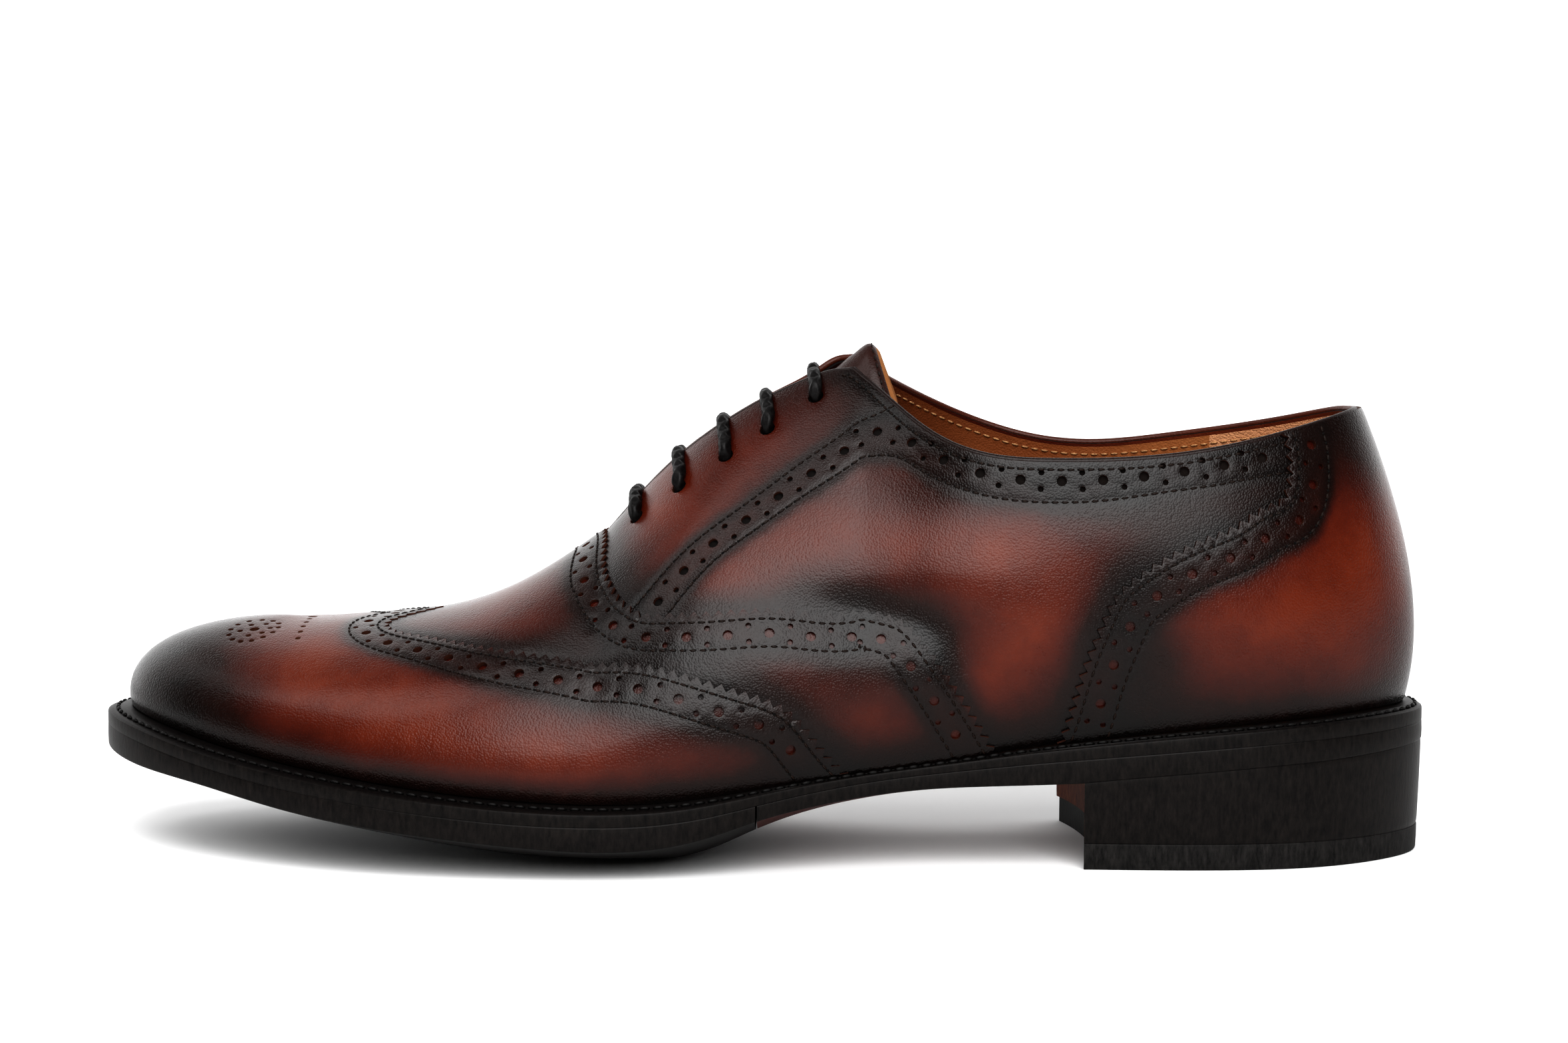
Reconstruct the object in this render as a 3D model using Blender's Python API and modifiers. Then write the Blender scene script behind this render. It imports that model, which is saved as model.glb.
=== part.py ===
"""Full-brogue wing-tip oxford shoe for the left foot, about 305 mm long.

The toe points to -X, the outer (lateral) side faces -Y and the shoe stands on Z = 0.
One function, skin(), gives the outside of the leather. Every leather piece is an
offset of it, and the welt, soles and heel follow the feather line at its foot.
Sizes are in millimetres and become metres when a mesh is made.
"""

import math

import bmesh
import bpy
import numpy as np

MM = 0.001

# Wall, layers and clearances
WALL = 2.2
GAP = 0.3
PANEL = 1.0
VAMP_PANEL = 0.7
TONGUE_THICK = 2.0
LACE_RADIUS = 1.6
TOP_PIECE_HEIGHT = 5.8
HEEL_BREAST_X = 72.3
BREAST_BOW = 4.5
HEEL_TAPER = 0.8
HALF_SOLE_END_X = -1.0
INSOLE_INSET = 3.5
WELT_INSET = 3.0
INSOLE_ABOVE = 0.8
FLAT_SHARE = 0.4

# The feather line runs between these ends; the rounding is breadth over sine there.
TOE_X = -148.0
HEEL_X = 149.3
TOE_ROUND = 57.0
HEEL_ROUND = 50.0
AXIS_AT_HEEL = -6.3
AXIS_SWING = 14.0
RIDGE_SWING = 0.06
RIDGE_END_X = 138.8

# One row per section of the upper, toe to heel.
# xf, zf: feather station and height; lat, med: half-breadths each side of the axis
# xt, zt, gap: top edge (ridge, facing, then topline) and its distance from the ridge
# rise: how much higher the inner side's top edge is; arch: extra fullness on the inner side
# out_a, up_a / out_b, down_b: handles of the wall's curve at the feather and at the top
# under: how far the base leather lies below the panels that cover it there
SECTION = (
    "xf", "lat", "med", "zf", "xt", "gap", "zt", "rise",
    "out_a", "up_a", "out_b", "down_b", "arch", "under",
)
SECTIONS = (
    (-148.0, 0.0, 0.0, 31.8, -112.0, 0.0, 51.7, 0.0, 2.6, 13.4, 22.0, 0.0, 0.0, 1.3),
    (-139.0, 19.0, 18.0, 29.8, -110.0, 0.0, 51.7, 0.0, 2.8, 13.4, 22.0, 0.0, 0.0, 1.3),
    (-122.0, 31.2, 29.0, 26.0, -104.0, 0.0, 51.5, 0.0, 3.5, 14.4, 23.0, 0.0, 0.0, 1.3),
    (-95.0, 42.6, 38.0, 21.4, -86.0, 0.0, 52.6, 0.0, 4.5, 16.4, 26.0, 0.0, 0.0, 1.2),
    (-65.0, 48.0, 42.8, 17.8, -60.0, 0.0, 58.3, 0.0, 6.0, 19.0, 27.0, 0.0, 0.0, 1.0),
    (-36.0, 48.2, 42.0, 16.1, -36.5, 0.0, 72.2, 0.0, 6.5, 20.0, 25.0, 1.0, 0.5, 0.7),
    (-18.0, 45.8, 37.5, 16.7, -20.0, 3.0, 89.2, 0.0, 7.0, 23.0, 26.0, 9.0, 2.0, 0.3),
    (2.0, 42.0, 31.0, 19.3, 1.0, 3.5, 103.4, 0.0, 8.0, 26.0, 25.0, 16.0, 5.0, 0.2),
    (22.0, 37.8, 26.4, 21.9, 21.5, 5.0, 112.0, 0.5, 7.5, 26.0, 24.0, 21.0, 6.5, 0.1),
    (38.0, 35.2, 24.5, 23.8, 38.0, 24.0, 96.6, 7.0, 7.5, 24.0, 10.0, 20.0, 7.0, 0.0),
    (62.0, 33.0, 24.6, 27.2, 64.0, 31.0, 90.4, 3.4, 7.0, 22.0, 5.0, 20.0, 5.5, 0.0),
    (95.0, 32.4, 27.2, 31.0, 95.0, 29.0, 92.0, 1.5, 5.6, 21.0, 6.0, 22.0, 2.4, 0.7),
    (125.0, 26.6, 24.0, 33.3, 121.0, 21.5, 97.5, 0.4, 5.2, 20.0, 8.5, 23.0, 0.6, 1.2),
    (142.0, 15.0, 14.0, 34.1, 134.5, 12.0, 101.0, 0.0, 5.5, 20.0, 9.5, 23.5, 0.0, 1.3),
    (149.3, 0.0, 0.0, 34.3, 138.8, 0.0, 101.6, 0.0, 5.5, 20.0, 9.5, 23.5, 0.0, 1.3),
)
THROAT_ROW = 5
CORNER_ROW = 8

# One row per section of the sole: how far it stands out beyond the feather on the
# outer and inner side, the welt's thickness and fall, and the bottom's height at its
# edge and along its middle.
SOLE = ("x", "over_lat", "over_med", "welt", "fall", "edge", "belly")
SOLES = (
    (-148.0, 5.3, 5.3, 2.9, 0.9, 22.6, 21.6),
    (-137.0, 5.4, 5.4, 2.9, 0.9, 19.8, 17.8),
    (-120.0, 5.6, 5.5, 2.9, 1.0, 17.2, 13.8),
    (-104.0, 5.8, 5.5, 2.9, 1.0, 14.0, 10.0),
    (-88.0, 6.0, 5.5, 2.9, 1.0, 11.4, 6.6),
    (-70.0, 6.0, 5.3, 2.9, 1.0, 9.2, 3.2),
    (-52.0, 6.0, 5.0, 2.9, 1.0, 7.5, 0.7),
    (-38.0, 6.0, 4.6, 2.9, 1.0, 6.5, 0.0),
    (-20.0, 5.6, 4.0, 2.8, 1.0, 7.2, 0.0),
    (-10.0, 4.8, 3.2, 2.6, 0.9, 9.3, 2.6),
    (-1.0, 3.8, 2.4, 2.3, 0.7, 12.0, 6.5),
    (14.0, 2.4, 1.4, 1.9, 0.4, 15.2, 11.6),
    (32.0, 1.8, 1.0, 1.7, 0.3, 17.6, 15.0),
    (52.0, 2.4, 1.6, 2.2, 0.5, 18.6, 17.2),
    (72.0, 3.2, 2.6, 2.8, 0.8, 19.4, 19.4),
    (100.0, 3.6, 3.2, 3.2, 0.9, 22.0, 22.0),
    (126.0, 3.8, 3.5, 3.3, 0.9, 24.0, 24.0),
    (149.3, 3.8, 3.8, 3.3, 0.9, 25.6, 25.6),
)

# Panel edges as seen from the side (x, z): the wing cap, the vamp's rear edge, the counter.
WING_EDGE = (
    (-74.6, 57.5), (-75.4, 54.2), (-80.6, 52.7), (-86.2, 51.2), (-77.2, 49.7), (-67.7, 48.9),
    (-52.7, 47.5), (-32.6, 45.7), (-14.6, 43.0), (-1.9, 39.4), (6.8, 35.7), (11.7, 29.9),
    (17.6, 23.4), (21.0, 18.0),
)
VAMP_EDGE = (
    (-35.9, 82.0), (-35.4, 70.4), (-34.8, 64.5), (-30.8, 59.1), (-25.9, 56.2), (-12.5, 56.3),
    (4.8, 57.6), (26.6, 56.7), (32.4, 54.7), (37.8, 48.3), (45.6, 36.7), (51.8, 26.8), (55.0, 20.0),
)
COUNTER_EDGE = (
    (117.2, 115.0), (117.2, 96.5), (118.3, 88.5), (116.6, 81.7), (101.0, 74.3), (83.8, 65.1),
    (77.2, 58.4), (74.2, 50.5), (71.3, 41.5), (68.4, 32.7), (66.0, 24.0),
)

# Lace bars from the toe up: how far along the facing, and where the eyelet lies on the wall.
LACE = ("x_top", "eyelet")
LACES = (
    (-27.6, 0.86),
    (-17.4, 0.865),
    (-7.2, 0.88),
    (3.0, 0.90),
    (14.0, 0.925),
)

BROWN = (0.16, 0.045, 0.02, 1.0)
DARK_BROWN = (0.05, 0.02, 0.012, 1.0)
TAN = (0.45, 0.2, 0.08, 1.0)
BLACK = (0.015, 0.013, 0.012, 1.0)


def cubic(knots, values, flat_ends):
    """A smooth cubic through rows of values; its ends are level or free."""
    knots = np.asarray(knots, float)
    values = np.asarray(values, float)
    step = np.diff(knots)
    count = len(knots)
    system = np.eye(count)
    right = np.zeros(values.shape)
    for i in range(1, count - 1):
        system[i, i - 1:i + 2] = step[i - 1], 2 * (step[i - 1] + step[i]), step[i]
        slope_after = (values[i + 1] - values[i]) / step[i]
        slope_before = (values[i] - values[i - 1]) / step[i - 1]
        right[i] = 6 * (slope_after - slope_before)
    if flat_ends:
        system[0, :2] = 2 * step[0], step[0]
        right[0] = 6 * (values[1] - values[0]) / step[0]
        system[-1, -2:] = step[-1], 2 * step[-1]
        right[-1] = -6 * (values[-1] - values[-2]) / step[-1]
    bend = np.linalg.solve(system, right)

    def at(where):
        i = int(np.clip(np.searchsorted(knots, where) - 1, 0, count - 2))
        g = step[i]
        a = knots[i + 1] - where
        b = where - knots[i]
        curved = (bend[i] * a ** 3 + bend[i + 1] * b ** 3) / (6 * g)
        straight = (values[i] / g - bend[i] * g / 6) * a + (values[i + 1] / g - bend[i + 1] * g / 6) * b
        return curved + straight

    return at


MIDDLE = (TOE_X + HEEL_X) / 2
HALF = (HEEL_X - TOE_X) / 2


def turn_of(x):
    """Angle round the outline for a station x: 0 at the toe, pi at the heel."""
    return math.acos(max(-1.0, min(1.0, (MIDDLE - x) / HALF)))


def column(names, rows, name):
    return np.array([row[names.index(name)] for row in rows])


KNOTS = np.array([turn_of(x) for x in column(SECTION, SECTIONS, "xf")])
SOLE_KNOTS = np.array([turn_of(x) for x in column(SOLE, SOLES, "x")])
THROAT = KNOTS[THROAT_ROW]
CORNER = KNOTS[CORNER_ROW]


def breadth_curve(name):
    ratio = column(SECTION, SECTIONS, name)
    ratio[1:-1] /= np.sin(KNOTS[1:-1])
    ratio[0] = TOE_ROUND
    ratio[-1] = HEEL_ROUND
    return cubic(KNOTS, ratio, True)


def top_curve(first, last):
    names = ("xt", "gap", "zt", "rise")
    rows = np.stack([column(SECTION, SECTIONS, name)[first:last + 1] for name in names], 1)
    return cubic(KNOTS[first:last + 1], rows, False)


BREADTH = {-1: breadth_curve("lat"), 1: breadth_curve("med")}
BODY_NAMES = ("zf", "out_a", "up_a", "out_b", "down_b", "arch", "under")
BODY = cubic(KNOTS, np.stack([column(SECTION, SECTIONS, n) for n in BODY_NAMES], 1), True)
RIDGE = top_curve(0, THROAT_ROW)
FACING = top_curve(THROAT_ROW, CORNER_ROW)
TOPLINE = top_curve(CORNER_ROW, len(KNOTS) - 1)
FAIRED_TOP = top_curve(0, len(KNOTS) - 1)
SOLE_CURVE = cubic(SOLE_KNOTS, np.array([row[1:] for row in SOLES]), True)


def feather(turn, side):
    """Plan point of the feather line; side is -1 outer, +1 inner."""
    x = MIDDLE - HALF * math.cos(turn)
    axis = AXIS_AT_HEEL + AXIS_SWING * (HEEL_X - x) / (HEEL_X - TOE_X)
    return np.array([x, axis + side * BREADTH[side](turn) * math.sin(turn)])


def outward(turn, side):
    """Plan direction pointing away from the shoe, square to the feather line."""
    along = feather(min(math.pi, turn + 1e-4), side) - feather(max(0.0, turn - 1e-4), side)
    along /= np.linalg.norm(along)
    return np.array([-side * along[1], side * along[0]])


def top_edge(turn):
    if turn <= THROAT:
        found = RIDGE(turn)
        found[1] = 0.0
        return found
    return FACING(turn) if turn <= CORNER else TOPLINE(turn)


def above_ridge(edge, side):
    """Space point of a top edge given as station, distance from the ridge, height and rise."""
    xt, gap, zt, rise = edge
    ridge_y = AXIS_AT_HEEL + RIDGE_SWING * (RIDGE_END_X - xt)
    return np.array([xt, ridge_y + side * gap, zt + max(side, 0) * rise])


def skin(turn, t, side):
    """Outside of the finished leather: t is 0 at the feather and 1 at the top edge."""
    zf, out_a, up_a, out_b, down_b, arch, _ = BODY(turn)
    foot = np.append(feather(turn, side), zf)
    out = np.append(outward(turn, side), 0.0)
    up = np.array([0.0, 0.0, 1.0])
    head = above_ridge(top_edge(turn), side)
    fair = head if turn <= THROAT else above_ridge(FAIRED_TOP(turn), side)
    low = foot + (out_a + max(side, 0) * arch) * out + up_a * up
    high = fair + out_b * out - down_b * up
    s = 1 - t
    return s ** 3 * foot + 3 * t * s * s * low + 3 * t * t * s * high + t ** 3 * head


def skin_normal(turn, t, side):
    around = skin(min(math.pi - 1e-5, turn + 1e-3), t, side) - skin(max(1e-5, turn - 1e-3), t, side)
    if t > 0.999 and turn <= THROAT:
        normal = np.array([-around[2], 0.0, around[0]])
    else:
        rise = skin(turn, min(1.0, t + 1e-3), side) - skin(turn, max(0.0, t - 1e-3), side)
        normal = -side * np.cross(around, rise)
    return normal / np.linalg.norm(normal)


def leather(turn, t, side, lift):
    """A point lift millimetres above the base leather."""
    under = BODY(turn)[6]
    return skin(turn, t, side) + (lift - under) * skin_normal(turn, t, side)


def sole_outline(turn, side, extra):
    """Plan point of the sole's edge, moved out by extra."""
    over = SOLE_CURVE(turn)[0 if side < 0 else 1]
    return feather(turn, side) + (over + extra) * outward(turn, side)


def feather_height(turn):
    return BODY(turn)[0]


def sole_top(turn):
    _, _, welt, fall, _, _ = SOLE_CURVE(turn)
    return feather_height(turn) - 2 * GAP - fall - welt


def sole_bottom(turn, v):
    """Level along the middle, then rising to the edge; the tread itself is flat."""
    edge, belly = SOLE_CURVE(turn)[4:]
    belly = max(0.0, belly)
    bend = max(0.0, abs(v) - FLAT_SHARE) / (1 - FLAT_SHARE)
    return belly + max(0.0, edge - belly) * bend ** 1.5


# The scene, collections and materials
for old in list(bpy.data.objects):
    bpy.data.objects.remove(old, do_unlink=True)

SHOE = bpy.data.collections.new("oxford_shoe")
CUTTERS = bpy.data.collections.new("oxford_cutters")
for group in (SHOE, CUTTERS):
    bpy.context.scene.collection.children.link(group)


def material(name, colour, roughness):
    made = bpy.data.materials.new(name)
    made.use_nodes = True
    shader = made.node_tree.nodes["Principled BSDF"]
    shader.inputs["Base Color"].default_value = colour
    shader.inputs["Roughness"].default_value = roughness
    made.diffuse_color = colour
    return made


def finish(name, points, faces, colour, roughness, group=SHOE):
    """A mesh object from millimetre points, with doubled points joined and faces turned out."""
    mesh = bpy.data.meshes.new(name)
    mesh.from_pydata([tuple(p * MM) for p in points], [], faces)
    work = bmesh.new()
    work.from_mesh(mesh)
    bmesh.ops.remove_doubles(work, verts=work.verts, dist=1e-5)
    work.to_mesh(mesh)
    work.free()
    mesh.materials.append(material(name, colour, roughness))
    made = bpy.data.objects.new(name, mesh)
    group.objects.link(made)
    return made


def sheet(name, stations, heights, lift, thick, colour, roughness, closed):
    """An open leather sheet over stations of (turn, side), thickened with Solidify."""
    points = [leather(turn, t, side, lift) for turn, side in stations for t in heights]
    rows = len(heights)
    count = len(stations)
    faces = []
    for i in range(count if closed else count - 1):
        j = (i + 1) % count
        ends = {stations[i][0], stations[j][0]}
        if stations[i][1] != stations[j][1] and not ends & {0.0, math.pi}:
            continue
        for k in range(rows - 1):
            faces.append((i * rows + k, j * rows + k, j * rows + k + 1, i * rows + k + 1))
    made = finish(name, points, faces, colour, roughness)
    wall = made.modifiers.new("leather", "SOLIDIFY")
    wall.thickness = abs(thick) * MM
    wall.offset = 1.0 if thick > 0 else -1.0
    wall.use_even_offset = True
    wall.use_quality_normals = True
    return made


def plate(name, turns, cross, outline_top, outline_bottom, top, bottom, bow, colour, roughness):
    """A solid between two surfaces, lofted through sections from the outer to the inner edge.

    bow pulls the middle of the first sections back, for a hollowed front face.
    """
    upper_points = []
    lower_points = []
    for i, turn in enumerate(turns):
        pull = bow * max(0.0, 1 - i / 4.0) ** 1.5
        for v in cross:
            share = (v + 1) / 2
            shift = np.array([pull * (1 - v * v), 0.0])
            high = outline_top(turn, -1) * (1 - share) + outline_top(turn, 1) * share + shift
            low = outline_bottom(turn, -1) * (1 - share) + outline_bottom(turn, 1) * share + shift
            upper_points.append(np.append(high, top(turn, v)))
            lower_points.append(np.append(low, bottom(turn, v)))
    points = upper_points + lower_points
    wide = len(cross)
    long = len(turns)
    below = wide * long
    faces = []
    for i in range(long - 1):
        for k in range(wide - 1):
            a = i * wide + k
            faces.append((a, a + wide, a + wide + 1, a + 1))
            faces.append((below + a, below + a + 1, below + a + wide + 1, below + a + wide))
        near = i * wide
        far = near + wide - 1
        faces.append((near, below + near, below + near + wide, near + wide))
        faces.append((far, far + wide, below + far + wide, below + far))
    for k in range(wide - 1):
        end = (long - 1) * wide + k
        if turns[0] > 0:
            faces.append((k, k + 1, below + k + 1, below + k))
        if turns[-1] < math.pi:
            faces.append((end, below + end, below + end + 1, end + 1))
    return finish(name, points, faces, colour, roughness)


def keep_inside(made, name, outline):
    """Trim a piece to a side-view outline: a prism that reaches across the shoe."""
    count = len(outline)
    points = [np.array([x, y, z]) for y in (-90.0, 90.0) for x, z in outline]
    faces = [tuple(range(count)), tuple(reversed(range(count, 2 * count)))]
    for i in range(count):
        j = (i + 1) % count
        faces.append((i, count + i, count + j, j))
    prism = finish(name, points, faces, BLACK, 0.5, CUTTERS)
    work = bmesh.new()
    work.from_mesh(prism.data)
    bmesh.ops.recalc_face_normals(work, faces=work.faces)
    work.to_mesh(prism.data)
    work.free()
    prism.hide_render = True
    prism.display_type = "WIRE"
    trim = made.modifiers.new(name, "BOOLEAN")
    trim.object = prism
    trim.operation = "INTERSECT"
    trim.solver = "EXACT"


def spread(first, last, count):
    return [first + (last - first) * i / count for i in range(count + 1)]


# Upper: one hollow shell, open at the collar, the throat and underneath
TURNS = []
for row in range(len(KNOTS) - 1):
    TURNS += spread(KNOTS[row], KNOTS[row + 1], 3)[:-1]
TURNS.append(math.pi)
HEIGHTS = (0.0, 0.1, 0.21, 0.33, 0.45, 0.57, 0.68, 0.79, 0.9, 1.0)
ROUND_SHOE = [(turn, -1) for turn in TURNS] + [(turn, 1) for turn in TURNS[-2:0:-1]]
sheet("upper", ROUND_SHOE, HEIGHTS, 0.0, -WALL, BROWN, 0.35, True)

# Wing cap, vamp and counter: panels cut from a shell just above the upper
OVER_WELT = (0.025,) + HEIGHTS[1:]


def both_sides(first, last):
    chosen = [turn for turn in TURNS if first <= turn <= last]
    return [(turn, 1) for turn in reversed(chosen) if turn > 0] + [(turn, -1) for turn in chosen]


wing = sheet("toe_wing", both_sides(0.0, turn_of(26.0)), OVER_WELT, GAP, PANEL, BROWN, 0.3, False)
keep_inside(wing, "wing_outline", ((-170.0, 10.0), (-170.0, 90.0), (-74.6, 90.0)) + WING_EDGE + ((21.0, 10.0),))

# The vamp stops short of the wing cap's edge by a hair, so that the two lie side by side.
def beside(line, distance):
    """The same line moved to its left, with mitred corners."""
    line = np.array(line)
    along = np.diff(line, axis=0)
    left = np.stack([-along[:, 1], along[:, 0]], 1)
    left /= np.linalg.norm(left, axis=1)[:, None]
    before = np.vstack([left[:1], left])
    after = np.vstack([left, left[-1:]])
    mitre = (before + after) / (1 + (before * after).sum(1))[:, None]
    return tuple((x, z) for x, z in line + distance * mitre)


vamp = sheet("vamp", both_sides(turn_of(-112.0), turn_of(60.0)), OVER_WELT, GAP, VAMP_PANEL, BROWN, 0.3, False)
keep_inside(vamp, "vamp_outline", ((-70.0, 90.0),) + VAMP_EDGE + beside(WING_EDGE, 0.5)[::-1])

rear = [turn for turn in TURNS if turn >= turn_of(58.0)]
rear_stations = [(turn, -1) for turn in rear] + [(turn, 1) for turn in reversed(rear[:-1])]
counter = sheet("heel_counter", rear_stations, OVER_WELT, GAP, PANEL, DARK_BROWN, 0.3, False)
keep_inside(counter, "counter_outline", COUNTER_EDGE + ((190.0, 24.0), (190.0, 115.0)))

# Tongue: a sheet hung under the facings, bridging the throat
TONGUE_DEEP = -(WALL + 0.6)
TONGUE_HEIGHTS = (0.74, 0.79, 0.9, 1.0)
tongue_turns = [turn for turn in TURNS if turn_of(-62.0) <= turn <= CORNER]
tongue_rows = []
for turn in tongue_turns:
    outer = [leather(turn, t, -1, TONGUE_DEEP) for t in TONGUE_HEIGHTS]
    inner = [leather(turn, t, 1, TONGUE_DEEP) for t in reversed(TONGUE_HEIGHTS)]
    crown = (outer[-1] + inner[0]) / 2 + np.array([0.0, 0.0, 0.4])
    tongue_rows.append(outer[:-1] + [crown] + inner[1:])
tip = []
for point in tongue_rows[-1]:
    drawn = point.copy()
    drawn[1] = tongue_rows[-1][3][1] + 0.82 * (point[1] - tongue_rows[-1][3][1])
    tip.append(drawn + np.array([6.0, 0.0, 5.2]))
tongue_rows.append(tip)
tongue_wide = len(tip)
tongue_faces = []
for i in range(len(tongue_rows) - 1):
    for k in range(tongue_wide - 1):
        a = i * tongue_wide + k
        tongue_faces.append((a, a + tongue_wide, a + tongue_wide + 1, a + 1))
tongue = finish("tongue", [p for line in tongue_rows for p in line], tongue_faces, DARK_BROWN, 0.5)
tongue_wall = tongue.modifiers.new("leather", "SOLIDIFY")
tongue_wall.thickness = TONGUE_THICK * MM
tongue_wall.offset = -1.0
tongue_wall.use_even_offset = True

# Welt: a strip all round, level with the upper's foot and falling a little to its edge
WELT_TURNS = ROUND_SHOE
welt_points = []
for turn, side in WELT_TURNS:
    _, _, thick, fall, _, _ = SOLE_CURVE(turn)
    zf = feather_height(turn) - GAP
    inside = feather(turn, side) - WELT_INSET * outward(turn, side)
    rim = sole_outline(turn, side, 0.0)
    welt_points.append(np.append(inside, zf))
    welt_points.append(np.append(feather(turn, side) + 1.5 * outward(turn, side), zf))
    welt_points.append(np.append(rim, zf - fall))
    welt_points.append(np.append(rim, zf - fall - thick))
    welt_points.append(np.append(inside, zf - fall - thick))
welt_faces = []
for i in range(len(WELT_TURNS)):
    j = (i + 1) % len(WELT_TURNS)
    for k in range(5):
        m = (k + 1) % 5
        welt_faces.append((i * 5 + k, i * 5 + m, j * 5 + m, j * 5 + k))
finish("welt", welt_points, welt_faces, BLACK, 0.4)

# Soles, insole and heel
CROSS = (-1.0, -0.85, -0.65, -0.4, 0.0, 0.4, 0.65, 0.85, 1.0)
FRONT = [turn for turn in TURNS if turn < turn_of(HALF_SOLE_END_X) - 0.02] + [turn_of(HALF_SOLE_END_X)]
WAIST_START = turn_of(HALF_SOLE_END_X + 0.4)
BACK = [WAIST_START] + [turn for turn in TURNS if turn > WAIST_START + 0.02]
BREAST = turn_of(HEEL_BREAST_X)
HEEL = spread(BREAST, BREAST + 0.24, 4) + [turn for turn in TURNS if turn > BREAST + 0.28]


def edge_line(extra):
    return lambda turn, side: sole_outline(turn, side, extra)


def insole_line(turn, side):
    return feather(turn, side) - INSOLE_INSET * outward(turn, side)


def level(height):
    return lambda turn, v: height


plate(
    "half_sole", FRONT, CROSS, edge_line(0.0), edge_line(0.0),
    lambda turn, v: sole_top(turn), sole_bottom, 0.0, BLACK, 0.6,
)
plate(
    "waist_sole", BACK, CROSS, edge_line(0.0), edge_line(0.0),
    lambda turn, v: sole_top(turn), sole_bottom, 0.0, BLACK, 0.5,
)
plate(
    "insole", TURNS[1:-1], (-1.0, -0.5, 0.0, 0.5, 1.0), insole_line, insole_line,
    lambda turn, v: feather_height(turn) + INSOLE_ABOVE, lambda turn, v: sole_top(turn) + GAP, 0.0, TAN, 0.7,
)
plate(
    "heel_stack", HEEL, CROSS, edge_line(-0.1), edge_line(-HEEL_TAPER),
    lambda turn, v: sole_bottom(turn, v) - GAP, level(TOP_PIECE_HEIGHT + GAP), BREAST_BOW, BLACK, 0.5,
)
top_piece = plate(
    "heel_top_piece", HEEL, CROSS, edge_line(-HEEL_TAPER), edge_line(-HEEL_TAPER - 0.2),
    level(TOP_PIECE_HEIGHT), level(0.0), BREAST_BOW, BLACK, 0.7,
)

# The inner front corner of the top piece is clipped off.
corner = sole_outline(BREAST, 1, -HEEL_TAPER)
bpy.ops.mesh.primitive_cube_add(size=1.0)
notch = bpy.context.object
notch.name = "heel_notch"
for home in list(notch.users_collection):
    home.objects.unlink(notch)
CUTTERS.objects.link(notch)
notch.scale = (12 * MM, 12 * MM, 20 * MM)
notch.rotation_euler = (0.0, 0.0, math.radians(45))
notch.location = ((corner[0] - 3.0) * MM, (corner[1] + 3.0) * MM, 4 * MM)
notch.hide_render = True
notch.display_type = "WIRE"
clip = top_piece.modifiers.new("clipped corner", "BOOLEAN")
clip.object = notch
clip.operation = "DIFFERENCE"
clip.solver = "EXACT"

# Laces: five straight bars over the facings
for number, (x_top, eyelet) in enumerate(LACES, 1):
    at = min(spread(THROAT, CORNER, 400), key=lambda turn: abs(top_edge(turn)[0] - x_top))
    clear = LACE_RADIUS + 0.45
    path = []
    for t in (eyelet, (eyelet + 1) / 2, 1.0):
        path.append(leather(at, t, -1, clear))
    opposite = [leather(at, t, 1, clear) for t in (1.0, (eyelet + 1) / 2, eyelet)]
    crown = (path[-1] + opposite[0]) / 2 + np.array([0.0, 0.0, 0.5])
    path += [crown] + opposite
    data = bpy.data.curves.new(f"lace_bar_{number}", "CURVE")
    data.dimensions = "3D"
    data.bevel_depth = LACE_RADIUS * MM
    data.bevel_resolution = 1
    data.use_fill_caps = True
    data.resolution_u = 2
    line = data.splines.new("BEZIER")
    line.bezier_points.add(len(path) - 1)
    for knot, place in zip(line.bezier_points, path):
        knot.co = tuple(place * MM)
        knot.handle_left_type = "AUTO"
        knot.handle_right_type = "AUTO"
    data.materials.append(material(f"lace_bar_{number}", BLACK, 0.6))
    bar = bpy.data.objects.new(f"lace_bar_{number}", data)
    SHOE.objects.link(bar)
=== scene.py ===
# %% [markdown]
# # A wing-tip brogue, dressed round its imported frame
# The imported model gives the sizes, the floor and the collision solids. Everything that shows is
# modelled again here, from the same sections of the last, but with cut leather, holes and thread.
# The box of the imported model is kept.

# %% The frame
import math

import bmesh
import bpy
import numpy as np
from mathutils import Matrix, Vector, kdtree
from mathutils.geometry import delaunay_2d_cdt


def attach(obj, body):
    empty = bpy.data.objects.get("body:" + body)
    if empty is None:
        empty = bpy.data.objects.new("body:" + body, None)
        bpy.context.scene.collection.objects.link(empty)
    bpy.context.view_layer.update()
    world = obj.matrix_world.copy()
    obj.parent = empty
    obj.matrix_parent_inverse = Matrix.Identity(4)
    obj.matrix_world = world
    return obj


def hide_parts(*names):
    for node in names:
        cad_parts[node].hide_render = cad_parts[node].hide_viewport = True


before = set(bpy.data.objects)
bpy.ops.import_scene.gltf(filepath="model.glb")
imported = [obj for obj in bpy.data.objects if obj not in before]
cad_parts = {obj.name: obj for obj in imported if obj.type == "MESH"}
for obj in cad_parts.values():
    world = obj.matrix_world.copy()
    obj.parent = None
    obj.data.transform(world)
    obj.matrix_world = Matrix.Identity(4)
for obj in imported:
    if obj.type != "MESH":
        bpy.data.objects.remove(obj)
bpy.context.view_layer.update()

MM = 0.001
print("packed nodes:", len(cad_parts))

# %% [markdown]
# The camera stands where the photographer's stood: level with the ankle, looking a little down
# at the outer side of a left shoe. Its lens follows from the width of the picture. It could be
# turned by hand over a background picture. Here its place was worked out from the length of the
# shoe in the picture, which is easier to check.

# %% Camera
PICTURE_WIDTH = 2357
FOCAL_PIXELS = 4176
SENSOR = 36.0
LOOK_DOWN = 4.21
CAMERA_PLACE = (0.0059, -0.645, 0.122)

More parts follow.
